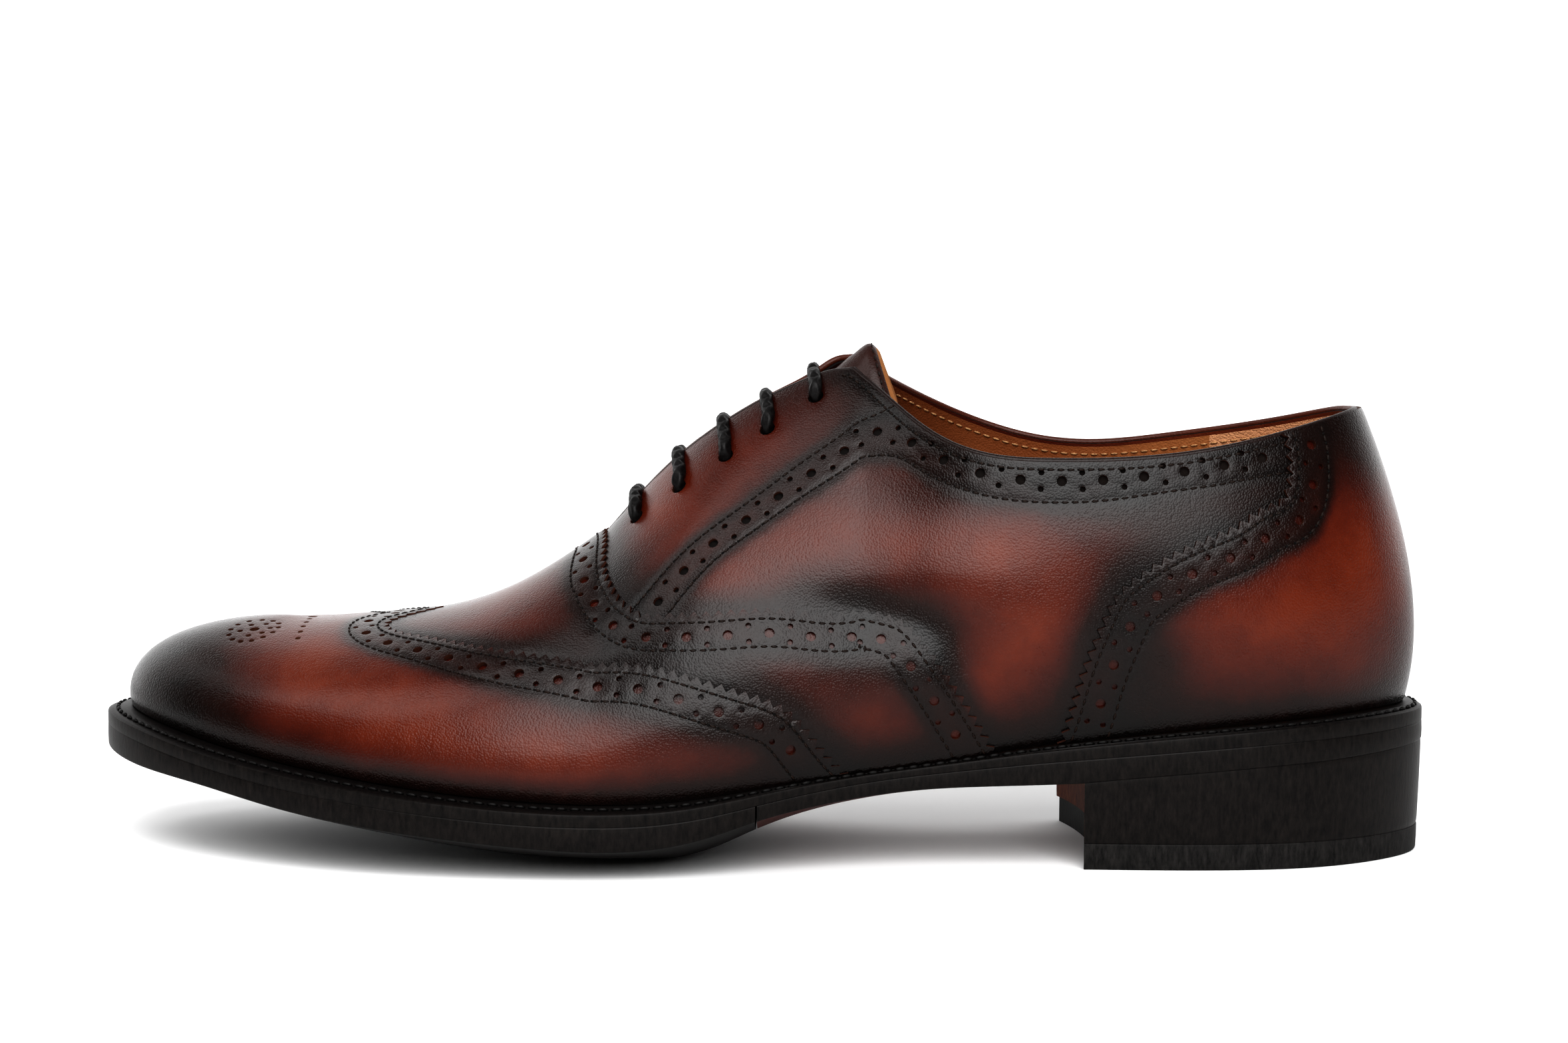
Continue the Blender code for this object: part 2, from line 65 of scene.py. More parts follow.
camera_data = bpy.data.cameras.new("camera")
camera_data.sensor_width = SENSOR
camera_data.lens = SENSOR * FOCAL_PIXELS / PICTURE_WIDTH
camera = bpy.data.objects.new("camera", camera_data)
camera.location = CAMERA_PLACE
camera.rotation_euler = (math.radians(90 - LOOK_DOWN), 0.0, 0.0)
bpy.context.scene.collection.objects.link(camera)
bpy.context.scene.camera = camera
print("lens: %.1f mm" % camera_data.lens)

# %% [markdown]
# Colours are written as the eye reads them, in sRGB hex, and one function turns them into the
# linear numbers that shaders use. Blender's colour fields do the same sum, but a script has to
# write it out. One more function adds a node, sets it and links it.

# %% Colour and node helpers
def linear(hex_colour):
    """A linear RGBA colour from sRGB hex such as 7a2f14."""
    parts = [int(hex_colour[i:i + 2], 16) / 255 for i in (0, 2, 4)]
    bent = [c / 12.92 if c <= 0.04045 else ((c + 0.055) / 1.055) ** 2.4 for c in parts]
    return (*bent, 1.0)


def add(tree, kind, settings=None, inputs=None, stops=()):
    """One node: settings by name, inputs as values or sockets to link, colours as (place, hex)."""
    made = tree.nodes.new(kind)
    for key, value in (settings or {}).items():
        setattr(made, key, value)
    for key, value in (inputs or {}).items():
        if isinstance(value, bpy.types.NodeSocket):
            tree.links.new(value, made.inputs[key])
        else:
            made.inputs[key].default_value = value
    if stops:
        elements = made.color_ramp.elements
        while len(elements) < len(stops):
            elements.new(0.5)
        for element, (place, colour) in zip(elements, stops):
            element.position = place
            element.color = linear(colour)
    return made


def begin(name):
    """A new material with its Principled shader and its object coordinates."""
    made = bpy.data.materials.new(name)
    made.use_nodes = True
    tree = made.node_tree
    shader = tree.nodes["Principled BSDF"]
    place = add(tree, "ShaderNodeTexCoord").outputs["Object"]
    return made, tree, shader, place


print("half grey in linear light: %.3f" % linear("808080")[0])

# %% [markdown]
# A white floor and a lit wall stand in for the studio, so the top of the shoe takes a bright rim.
# A polished shoe shows its lights as shapes, so each softbox stands where its mirror image falls:
# the tall one in front gives the broad sheen along the side, the small one at the upper left lights
# the facing and the cap, and the wide ones behind only keep the floor white.

# %% Studio
def plain_stage(name, colour, glow):
    made, tree, shader, _ = begin(name)
    shader.inputs["Base Color"].default_value = linear(colour)
    shader.inputs["Roughness"].default_value = 0.9
    shader.inputs["Emission Color"].default_value = linear("ffffff")
    shader.inputs["Emission Strength"].default_value = glow
    return made


def stage_sheet(name, corners, finish):
    mesh = bpy.data.meshes.new(name)
    mesh.from_pydata(corners, [], [(0, 1, 2, 3)])
    mesh.materials.append(finish)
    made = bpy.data.objects.new(name, mesh)
    bpy.context.scene.collection.objects.link(made)


FLOOR = 4.0
WALL_Y = 2.2
stage_sheet(
    "floor", [(-FLOOR, -FLOOR, 0), (FLOOR, -FLOOR, 0), (FLOOR, FLOOR, 0), (-FLOOR, FLOOR, 0)],
    plain_stage("matt_white_floor", "f2f2f2", 0.0),
)
stage_sheet(
    "backdrop", [(-FLOOR, WALL_Y, 0), (FLOOR, WALL_Y, 0), (FLOOR, WALL_Y, 3), (-FLOOR, WALL_Y, 3)],
    plain_stage("lit_white_wall", "f2f2f2", 0.6),
)

# Softboxes: name, place, point looked at, width, height, watts
SOFTBOXES = (
    ("front", (0.06, -0.94, 0.85), (0.0, 0.0, 0.06), 0.95, 1.2, 19.5),
    ("upper left", (-0.75, -0.35, 1.3), (0.0, 0.0, 0.06), 0.6, 0.6, 3.5),
    ("left", (-2.0, 1.1, 1.0), (0.0, 1.3, 0.0), 2.0, 2.2, 13.0),
    ("right", (2.0, 1.1, 1.0), (0.0, 1.3, 0.0), 2.0, 2.2, 13.0),
    ("overhead", (0.0, 1.25, 1.7), (0.0, 1.2, 0.0), 2.6, 1.5, 3.0),
)
for name, place, aim, width, height, watts in SOFTBOXES:
    box = bpy.data.lights.new(name, "AREA")
    box.shape = "RECTANGLE"
    box.size = width
    box.size_y = height
    box.energy = watts
    lamp = bpy.data.objects.new(name, box)
    lamp.location = place
    lamp.rotation_euler = (Vector(aim) - Vector(place)).to_track_quat("-Z", "Y").to_euler()
    bpy.context.scene.collection.objects.link(lamp)

world = bpy.data.worlds.new("studio")
world.use_nodes = True
ROOM_LIGHT = 0.16
room = world.node_tree.nodes["Background"].inputs
room["Color"].default_value = linear("ffffff")
room["Strength"].default_value = ROOM_LIGHT
bpy.context.scene.world = world
bpy.context.scene.view_settings.view_transform = "Standard"
bpy.context.scene.view_settings.look = "High Contrast"
print("softboxes:", len(SOFTBOXES))

# %% [markdown]
# The shape of the shoe is the shape of its last. Each row below is a section from toe to heel:
# where the leather meets the welt, where its top edge is, and how the wall curves between them.
# A sculpt could give it too, but fifteen rows of numbers are easy to read and to correct. They
# repeat the sections of the CAD model, so what is modelled here lies where the solids lie.

# %% Sections of the last
# xf, zf: feather station and height; lat, med: half-breadths each side of the axis
# xt, zt, gap: top edge (ridge, facing, then topline) and its distance from the ridge
# rise: how much higher the inner top edge is; arch: extra fullness on the inner side
# out_a, up_a, out_b, down_b: handles of the wall's curve at the feather and at the top
# under: how far the base leather lies below its panels; fan: direction when laid flat, degrees
SECTION = (
    "xf", "lat", "med", "zf", "xt", "gap", "zt", "rise",
    "out_a", "up_a", "out_b", "down_b", "arch", "under", "fan",
)
SECTIONS = (
    (-148.0, 0.0, 0.0, 31.8, -112.0, 0.0, 51.7, 0.0, 2.6, 13.4, 22.0, 0.0, 0.0, 1.3, 0.0),
    (-139.0, 19.0, 18.0, 29.8, -110.0, 0.0, 51.7, 0.0, 2.8, 13.4, 22.0, 0.0, 0.0, 1.3, 33.0),
    (-122.0, 31.2, 29.0, 26.0, -104.0, 0.0, 51.5, 0.0, 3.5, 14.4, 23.0, 0.0, 0.0, 1.3, 60.0),
    (-95.0, 42.6, 38.0, 21.4, -86.0, 0.0, 52.6, 0.0, 4.5, 16.4, 26.0, 0.0, 0.0, 1.2, 78.0),
    (-65.0, 48.0, 42.8, 17.8, -60.0, 0.0, 58.3, 0.0, 6.0, 19.0, 27.0, 0.0, 0.0, 1.0, 85.0),
    (-36.0, 48.2, 42.0, 16.1, -36.5, 0.0, 72.2, 0.0, 6.5, 20.0, 25.0, 1.0, 0.5, 0.7, 88.0),
    (-18.0, 45.8, 37.5, 16.7, -20.0, 3.0, 89.2, 0.0, 7.0, 23.0, 26.0, 9.0, 2.0, 0.3, 89.0),
    (2.0, 42.0, 31.0, 19.3, 1.0, 3.5, 103.4, 0.0, 8.0, 26.0, 25.0, 16.0, 5.0, 0.2, 89.5),
    (22.0, 37.8, 26.4, 21.9, 21.5, 5.0, 112.0, 0.5, 7.5, 26.0, 24.0, 21.0, 6.5, 0.1, 90.0),
    (38.0, 35.2, 24.5, 23.8, 38.0, 24.0, 96.6, 7.0, 7.5, 24.0, 10.0, 20.0, 7.0, 0.0, 90.5),
    (62.0, 33.0, 24.6, 27.2, 64.0, 31.0, 90.4, 3.4, 7.0, 22.0, 5.0, 20.0, 5.5, 0.0, 91.0),
    (95.0, 32.4, 27.2, 31.0, 95.0, 29.0, 92.0, 1.5, 5.6, 21.0, 6.0, 22.0, 2.4, 0.7, 98.0),
    (125.0, 26.6, 24.0, 33.3, 121.0, 21.5, 97.5, 0.4, 5.2, 20.0, 8.5, 23.0, 0.6, 1.2, 122.0),
    (142.0, 15.0, 14.0, 34.1, 134.5, 12.0, 101.0, 0.0, 5.5, 20.0, 9.5, 23.5, 0.0, 1.3, 150.0),
    (149.3, 0.0, 0.0, 34.3, 138.8, 0.0, 101.6, 0.0, 5.5, 20.0, 9.5, 23.5, 0.0, 1.3, 180.0),
)
THROAT_ROW = 5
CORNER_ROW = 8
TOE_X = -148.0
HEEL_X = 149.3
TOE_ROUND = 57.0
HEEL_ROUND = 50.0
AXIS_AT_HEEL = -6.3
AXIS_SWING = 14.0
PROUD_X = 19.5
PROUD_REACH = 6.0
PROUD = 2.5
RIDGE_SWING = 0.06
RIDGE_END_X = 138.8
MIDDLE = (TOE_X + HEEL_X) / 2
HALF = (HEEL_X - TOE_X) / 2
COLUMN = {name: np.array([row[i] for row in SECTIONS]) for i, name in enumerate(SECTION)}
print("sections:", len(SECTIONS))

# %% [markdown]
# Between two sections the last is smooth. A subdivision surface could round it off, but it would
# pull away from the measured rows. A cubic goes through every row, so one small function serves
# the outline, the top edge, the sole and the lace.

# %% Smooth curves through the rows
def cubic(knots, values, flat_ends=False):
    """A smooth cubic through rows of values; its ends are level or free."""
    knots = np.asarray(knots, float)
    values = np.asarray(values, float)
    step = np.diff(knots)
    count = len(knots)
    system = np.eye(count)
    right = np.zeros(values.shape)
    for i in range(1, count - 1):
        system[i, i - 1:i + 2] = step[i - 1], 2 * (step[i - 1] + step[i]), step[i]
        slope_after = (values[i + 1] - values[i]) / step[i]
        slope_before = (values[i] - values[i - 1]) / step[i - 1]
        right[i] = 6 * (slope_after - slope_before)
    if flat_ends:
        system[0, :2] = 2 * step[0], step[0]
        right[0] = 6 * (values[1] - values[0]) / step[0]
        system[-1, -2:] = step[-1], 2 * step[-1]
        right[-1] = -6 * (values[-1] - values[-2]) / step[-1]
    bend = np.linalg.solve(system, right)

    def at(where):
        where = np.asarray(where, float)
        i = np.clip(np.searchsorted(knots, where) - 1, 0, count - 2)
        wide = (slice(None),) * where.ndim + (None,) * (values.ndim - 1)
        g = step[i][wide]
        a = (knots[i + 1] - where)[wide]
        b = (where - knots[i])[wide]
        curved = (bend[i] * a ** 3 + bend[i + 1] * b ** 3) / (6 * g)
        low = (values[i] / g - bend[i] * g / 6) * a
        return curved + low + (values[i + 1] / g - bend[i + 1] * g / 6) * b

    return at


def turn_of(x):
    """Angle round the outline for a station x: 0 at the toe, pi at the heel."""
    return np.arccos(np.clip((MIDDLE - np.asarray(x, float)) / HALF, -1, 1))


def breadth_curve(name):
    ratio = COLUMN[name].copy()
    ratio[1:-1] /= np.sin(KNOTS[1:-1])
    ratio[0] = TOE_ROUND
    ratio[-1] = HEEL_ROUND
    return cubic(KNOTS, ratio, True)


def top_curve(first, last):
    names = ("xt", "gap", "zt", "rise")
    return cubic(KNOTS[first:last + 1], np.stack([COLUMN[n][first:last + 1] for n in names], 1))


KNOTS = turn_of(COLUMN["xf"])
THROAT = KNOTS[THROAT_ROW]
CORNER = KNOTS[CORNER_ROW]
OUTER_BREADTH = breadth_curve("lat")
INNER_BREADTH = breadth_curve("med")
BODY_NAMES = ("zf", "out_a", "up_a", "out_b", "down_b", "arch", "under")
BODY = cubic(KNOTS, np.stack([COLUMN[n] for n in BODY_NAMES], 1), True)
RIDGE = top_curve(0, THROAT_ROW)
FACING = top_curve(THROAT_ROW, CORNER_ROW)
TOPLINE = top_curve(CORNER_ROW, len(KNOTS) - 1)
FAIRED_TOP = top_curve(0, len(KNOTS) - 1)
print("throat at %.2f rad, corner at %.2f rad" % (THROAT, CORNER))

# %% [markdown]
# The wall of the upper leans out from the welt and rolls in to its top edge. It could be sculpted.
# Here each section is one curve with two handles, so any point is known from its turn round the shoe and
# its share of the height. Leather pulled over a last is never quite even: a few soft troughs and ridges,
# placed where the picture shows them, are pressed into the wall.

# %% The outside of the leather
# Soft creases: x, height, half-length, half-height, tilt in degrees, depth (minus is a trough)
CREASES = (
    (22.0, 57.0, 22.0, 7.0, -6.0, -2.0), (45.0, 46.0, 12.0, 6.0, -58.0, -1.0),
    (44.0, 66.0, 20.0, 9.0, -20.0, 0.5), (80.0, 56.0, 9.0, 12.0, 25.0, -0.6),
    (-2.0, 40.0, 20.0, 5.0, -12.0, -0.4), (64.0, 82.0, 30.0, 4.5, 4.0, -0.35),
)


def feather(turn, side):
    """Plan points of the feather line; side is -1 outer, +1 inner."""
    x = MIDDLE - HALF * np.cos(turn)
    axis = AXIS_AT_HEEL + AXIS_SWING * (HEEL_X - x) / (HEEL_X - TOE_X)
    half = np.where(side < 0, OUTER_BREADTH(turn), INNER_BREADTH(turn)) * np.sin(turn)
    return np.stack([x, axis + side * half], -1)


def outward(turn, side):
    """Plan directions away from the shoe, square to the feather line."""
    along = feather(np.minimum(math.pi, turn + 1e-4), side) - feather(np.maximum(0, turn - 1e-4), side)
    along /= np.linalg.norm(along, axis=-1, keepdims=True)
    return np.stack([-side * along[..., 1], side * along[..., 0]], -1)


def top_edge(turn):
    t = turn[..., None]
    found = np.where(t <= THROAT, RIDGE(turn), np.where(t <= CORNER, FACING(turn), TOPLINE(turn)))
    found[..., 1] = np.where(turn <= THROAT, 0.0, found[..., 1])
    return found


def above_ridge(edge, side):
    xt, gap, zt, rise = np.moveaxis(edge, -1, 0)
    y = AXIS_AT_HEEL + RIDGE_SWING * (RIDGE_END_X - xt) + side * gap
    proud = PROUD * np.exp(-((xt - PROUD_X) / PROUD_REACH) ** 2)
    return np.stack([xt, y, zt + np.maximum(side, 0) * (rise + proud)], -1)


def skin(turn, t, side):
    """Outside of the finished leather: t is 0 at the feather and 1 at the top edge."""
    turn, t, side = np.broadcast_arrays(*(np.asarray(v, float) for v in (turn, t, side)))
    zf, out_a, up_a, out_b, down_b, arch, _ = np.moveaxis(BODY(turn), -1, 0)
    foot = np.concatenate([feather(turn, side), zf[..., None]], -1)
    out = np.concatenate([outward(turn, side), np.zeros(turn.shape + (1,))], -1)
    up = np.array([0.0, 0.0, 1.0])
    head = above_ridge(top_edge(turn), side)
    fair = np.where((turn <= THROAT)[..., None], head, above_ridge(FAIRED_TOP(turn), side))
    low = foot + (out_a + np.maximum(side, 0) * arch)[..., None] * out + up_a[..., None] * up
    high = fair + out_b[..., None] * out - down_b[..., None] * up
    t = t[..., None]
    s = 1 - t
    return s ** 3 * foot + 3 * t * s * s * low + 3 * t * t * s * high + t ** 3 * head


def skin_normal(turn, t, side):
    t = np.clip(t, 0.0, 1.0)
    after = np.minimum(math.pi - 1e-5, turn + 1e-3)
    before = np.maximum(1e-5, turn - 1e-3)
    around = skin(after, t, side) - skin(before, t, side)
    rise = skin(turn, np.minimum(1.0, t + 1e-3), side) - skin(turn, np.maximum(0.0, t - 1e-3), side)
    normal = -side[..., None] * np.cross(around, rise)
    on_ridge = ((t > 0.999) & (turn <= THROAT))[..., None]
    level = np.stack([-around[..., 2], np.zeros_like(t), around[..., 0]], -1)
    normal = np.where(on_ridge, level, normal)
    return normal / np.maximum(np.linalg.norm(normal, axis=-1, keepdims=True), 1e-12)


def oval(points, x, z, long, high, tilt):
    """A soft tilted oval, seen from the side: one in its middle, fading to nothing."""
    c = math.cos(math.radians(tilt))
    s = math.sin(math.radians(tilt))
    along = (points[..., 0] - x) * c + (points[..., 2] - z) * s
    up = (points[..., 2] - z) * c - (points[..., 0] - x) * s
    return np.exp(-(along / long) ** 2 - (up / high) ** 2)


def creased(points):
    """How far soft troughs and ridges move the leather at some points."""
    return sum(depth * oval(points, *place) for *place, depth in CREASES)


def leather(turn, t, side, lift):
    """Points lift millimetres above the base leather."""
    turn, t, side = np.broadcast_arrays(*(np.asarray(v, float) for v in (turn, t, side)))
    on_skin = skin(turn, t, side)
    rise = np.asarray(lift) - BODY(turn)[..., 6] + creased(on_skin)
    return on_skin + rise[..., None] * skin_normal(turn, t, side)


print("toe tip of the leather:", np.round(skin(0.0, 0.2, -1.0), 1))

# %% [markdown]
# A shoemaker cuts panels flat. So the wall of the last is laid flat too: each section becomes a
# straight line of its true length, fanned out round toe and heel. Panels, teeth, holes and seams
# are drawn on that flat pattern and then laid back on the last. Both ways are a table look-up.

# %% Laying the last flat
FLAT_TURNS = np.linspace(0.0, math.pi, 901)
FLAT_SHARES = np.linspace(0.0, 1.0, 65)


def lengths_from_top(side):
    """For each turn, how long the wall is from its top edge down to each share."""
    turn, t = np.meshgrid(FLAT_TURNS, FLAT_SHARES[::-1], indexing="ij")
    wall = skin(turn, t, np.full(turn.shape, float(side)))
    steps = np.linalg.norm(np.diff(wall, axis=1), axis=2)
    return np.concatenate([np.zeros((len(FLAT_TURNS), 1)), np.cumsum(steps, 1)], 1)


FLAT_TOP = top_edge(FLAT_TURNS)
FLAT_FAN = np.radians(np.interp(FLAT_TURNS, KNOTS, COLUMN["fan"]))
DOWN = {side: lengths_from_top(side) for side in (-1, 1)}
LENGTH = {side: DOWN[side][:, -1] for side in (-1, 1)}
# Tables over (turn, share down): the part of the length at each share, and the reverse
PART_AT = {side: DOWN[side] / LENGTH[side][:, None] for side in (-1, 1)}
SHARE_AT = {
    side: np.stack([np.interp(FLAT_SHARES, row, FLAT_SHARES) for row in PART_AT[side]])
    for side in (-1, 1)
}


def look_up(table, row, column):
    """Read a table between its rows and columns."""
    i = np.clip(row.astype(int), 0, table.shape[0] - 2)
    j = np.clip(column.astype(int), 0, table.shape[1] - 2)
    u = row - i
    v = column - j
    near = table[i, j] * (1 - v) + table[i, j + 1] * v
    far = table[i + 1, j] * (1 - v) + table[i + 1, j + 1] * v
    return near * (1 - u) + far * u


def both(tables, side, row, column):
    return np.where(side < 0, look_up(tables[-1], row, column), look_up(tables[1], row, column))


def row_of(turn):
    return turn / math.pi * (len(FLAT_TURNS) - 1)


def wall_length(turn, side):
    outer, inner = (np.interp(turn, FLAT_TURNS, LENGTH[k]) for k in (-1, 1))
    return np.where(side < 0, outer, inner)


def lay_flat(turn, share, side):
    """Pattern points of places on the wall."""
    turn, share, side = np.broadcast_arrays(*(np.asarray(v, float) for v in (turn, share, side)))
    part = both(PART_AT, side, row_of(turn), (1 - share) * (len(FLAT_SHARES) - 1))
    length = wall_length(turn, side)
    fan = np.interp(turn, FLAT_TURNS, FLAT_FAN)
    down = part * length
    a = np.interp(turn, FLAT_TURNS, FLAT_TOP[:, 0]) - np.cos(fan) * down
    b = np.interp(turn, FLAT_TURNS, FLAT_TOP[:, 1]) + np.sin(fan) * down
    return np.stack([a, side * b], -1)


def lay_back(flat):
    """Turn, share and side of pattern points: halving finds the section that each lies on."""
    a = flat[..., 0]
    side = np.where(flat[..., 1] < 0, -1.0, 1.0)
    b = np.abs(flat[..., 1])
    low = np.zeros(a.shape)
    high = np.full(a.shape, math.pi)
    for _ in range(32):
        turn = (low + high) / 2
        fan = np.interp(turn, FLAT_TURNS, FLAT_FAN)
        along = (a - np.interp(turn, FLAT_TURNS, FLAT_TOP[:, 0])) * np.sin(fan)
        ahead = along + (b - np.interp(turn, FLAT_TURNS, FLAT_TOP[:, 1])) * np.cos(fan) > 0
        low = np.where(ahead, turn, low)
        high = np.where(ahead, high, turn)
    down_a = np.interp(turn, FLAT_TURNS, FLAT_TOP[:, 0]) - a
    down_b = b - np.interp(turn, FLAT_TURNS, FLAT_TOP[:, 1])
    length = wall_length(turn, side)
    part = (down_a * np.cos(fan) + down_b * np.sin(fan)) / length
    on_wall = np.clip(part, 0, 1)
    share = 1 - both(SHARE_AT, side, row_of(turn), on_wall * (len(FLAT_SHARES) - 1))
    return turn, share - (part - on_wall), side


def on_last(flat, lift):
    """Space points of pattern points, lift millimetres above the base leather."""
    return leather(*lay_back(flat), lift)


there = lay_flat(turn_of(np.array([-90.0, 10.0, 100.0])), np.array([0.4, 0.5, 0.6]), -1.0)
print("stations laid flat and back:", np.round(MIDDLE - HALF * np.cos(lay_back(there)[0]), 1))

# %% [markdown]
# Seams are smooth lines on the pattern. Offsets, teeth and holes are measured on the last and not
# on the pattern, because the pattern is a little stretched: a small step on the leather is turned
# into a step on the pattern by the slope of one against the other.

# %% Lines on the leather
def step_on_leather(flat, move):
    """Move pattern points by small steps that are given in space."""
    e = 0.3
    over_a = (on_last(flat + (e, 0), 0.0) - on_last(flat - (e, 0), 0.0)) / (2 * e)
    over_b = (on_last(flat + (0, e), 0.0) - on_last(flat - (0, e), 0.0)) / (2 * e)
    aa = (over_a * over_a).sum(-1)
    bb = (over_b * over_b).sum(-1)
    ab = (over_a * over_b).sum(-1)
    ma = (move * over_a).sum(-1)
    mb = (move * over_b).sum(-1)
    whole = aa * bb - ab * ab
    return flat + np.stack([(ma * bb - mb * ab) / whole, (mb * aa - ma * ab) / whole], -1)


def lengths_along(points):
    return np.concatenate([[0.0], np.cumsum(np.linalg.norm(np.diff(points, axis=0), axis=1))])


def every(flat, pitch, first=0.0):
    """The same pattern line with points pitch millimetres apart on the leather."""
    run = lengths_along(on_last(flat, 0.0))
    if first:
        wanted = np.arange(first, run[-1], pitch)
    else:
        wanted = np.linspace(0, run[-1], max(2, int(round(run[-1] / pitch)) + 1))
    return np.stack([np.interp(wanted, run, flat[:, k]) for k in (0, 1)], 1)


def seam(rows, side, pitch=0.6):
    """A smooth pattern line through rows of (station, share)."""
    rows = np.array(rows)
    flat = lay_flat(turn_of(rows[:, 0]), rows[:, 1], float(side))
    run = lengths_along(flat)
    smooth = cubic(run, flat)(np.linspace(0, run[-1], int(run[-1] * 3)))
    smooth[:, 1] = side * np.maximum(side * smooth[:, 1], 0.0)
    return every(smooth, pitch)


def frame_on(flat):
    """Directions along a pattern line and to its left, both in the leather."""
    points = on_last(flat, 0.0)
    along = np.gradient(points, axis=0)
    along /= np.linalg.norm(along, axis=1, keepdims=True)
    turn, share, side = lay_back(flat)
    left = np.cross(skin_normal(turn, share, side), along)
    return along, left / np.linalg.norm(left, axis=1, keepdims=True)


def nearest(points, to):
    """Distance from each point to the nearest of some others."""
    tree = kdtree.KDTree(len(to))
    for i, p in enumerate(to):
        tree.insert(p, i)
    tree.balance()
    return np.array([tree.find(p)[2] for p in points])


def beside(flat, distance, steps=4):
    """A pattern line moved to its left on the leather, without the loops of tight corners."""
    moved = flat
    _, left = frame_on(flat)
    for _ in range(steps):
        moved = step_on_leather(moved, left * distance / steps)
    clear = nearest(on_last(moved, 0.0), on_last(flat, 0.0)) > 0.93 * abs(distance)
    return every(moved[clear], 0.6)


def trimmed(flat, low=0.012, high=0.985):
    """A line without the ends that run off the wall."""
    _, share, _ = lay_back(flat)
    return flat[(share > low) & (share < high)]


def pinked(flat, pitch, depth):
    """A zigzag edge: every second point stands out to the right."""
    line = every(flat, pitch / 2)
    _, left = frame_on(line)
    share = np.where(np.arange(len(line)) % 2, 0.5, -0.5)[:, None]
    return step_on_leather(line, left * share * depth)


def rings(centres, radius, count):
    """Round holes on the leather, each a loop of pattern points."""
    around = 2 * math.pi * np.arange(count) / count
    flat = np.repeat(np.asarray(centres), count, 0)
    turn, share, side = lay_back(flat)
    normal = skin_normal(turn, share, side)
    across = np.cross(normal, [1.0, 0.0, 0.0])
    across /= np.linalg.norm(across, axis=1, keepdims=True)
    ahead = np.cross(across, normal)
    turned = np.tile(around, len(centres))[:, None]
    move = radius * (np.cos(turned) * ahead + np.sin(turned) * across)
    return step_on_leather(flat, move).reshape(len(centres), count, 2)


ahead = step_on_leather(there, np.array([[1.0, 0.0, 0.0]])) - there
print("one millimetre ahead, on the pattern:", np.round(np.linalg.norm(ahead, axis=1), 2))

# %% [markdown]
# The seams were read from the photograph as rows of station and share of the wall's height. The
# inner side, which the photograph hides, takes the same rows: the two sides of such a shoe match.

# %% Seam rows
WING_EDGE = (
    (-82.0, 1.0), (-86.5, 0.94), (-90.2, 0.875), (-90.6, 0.815), (-86.6, 0.745), (-79.4, 0.687),
    (-69.1, 0.607), (-53.0, 0.496), (-32.6, 0.406), (-15.2, 0.319), (-2.9, 0.245), (5.8, 0.185),
    (11.5, 0.11), (17.1, 0.029), (19.4, 0.0),
)
VAMP_EDGE = (
    (-36.0, 1.0), (-35.5, 0.858), (-34.9, 0.705), (-33.2, 0.639), (-31.3, 0.587), (-29.0, 0.548),
    (-26.1, 0.514), (-20.1, 0.485), (-13.2, 0.461), (3.5, 0.418), (19.8, 0.383), (25.7, 0.388),
    (31.6, 0.386), (34.5, 0.365), (37.5, 0.325), (45.5, 0.172), (51.8, 0.016), (52.4, 0.0),
)
COUNTER_EDGE = (
    (120.4, 1.0), (121.2, 0.95), (120.8, 0.883), (119.8, 0.825), (118.0, 0.787), (113.8, 0.773),
    (107.5, 0.734), (96.1, 0.682), (83.2, 0.577), (79.0, 0.521), (75.6, 0.415), (72.1, 0.269),
    (69.8, 0.136), (67.7, 0.026), (67.0, 0.0),
)
FACING_STITCH = ((-28.4, 0.541), (-17.5, 0.634), (-3.9, 0.694), (8.5, 0.745), (19.8, 0.801), (30.3, 0.975))
COLLAR_STITCH = (
    (-20.5, 0.491), (-11.2, 0.578), (-1.9, 0.621), (8.5, 0.66), (19.4, 0.708), (26.7, 0.774),
    (31.0, 0.82), (36.2, 0.844), (42.6, 0.858), (51.8, 0.858), (62.0, 0.851), (74.7, 0.857),
    (91.6, 0.881), (102.3, 0.883), (110.3, 0.884), (120.4, 0.873),
)
BAND_HOLES = (
    (-23.0, 0.53), (-14.5, 0.606), (-3.0, 0.657), (8.5, 0.703), (19.6, 0.757), (27.0, 0.845),
    (33.0, 0.903), (40.0, 0.928), (51.8, 0.931), (62.0, 0.927), (74.7, 0.93), (91.6, 0.942),
    (102.0, 0.944), (110.0, 0.944), (118.0, 0.938),
)
# Lace holes: station and share
EYELETS = ((-27.7, 0.86), (-17.5, 0.851), (-7.2, 0.863), (1.8, 0.884), (12.8, 0.921))

TOOTH = 2.7
TOOTH_DEEP = 1.5
FIRST_ROW = 1.9
HOLE_ROW = 5.2
SECOND_ROW = 8.6
BIG_HOLE = 1.15
SMALL_HOLE = 0.68
HOLE_PITCH = 9.1
PAIR_APART = 3.7
EYELET_HOLE = 1.9

wing_line = np.concatenate([seam(WING_EDGE, -1)[::-1], seam(WING_EDGE, 1)[1:]])
vamp_line = {side: seam(VAMP_EDGE, side) for side in (-1, 1)}
counter_line = {side: seam(COUNTER_EDGE, side) for side in (-1, 1)}
print("wing edge: %.0f mm" % lengths_along(on_last(wing_line, 0.0))[-1])

# %% [markdown]
# Every piece ends as one plain mesh. This helper takes millimetres and gives Blender metres, with
# smooth shading that breaks where two faces meet at a real edge. A second helper closes a sheet:
# the top, the bottom turned over, and a wall along every open edge.

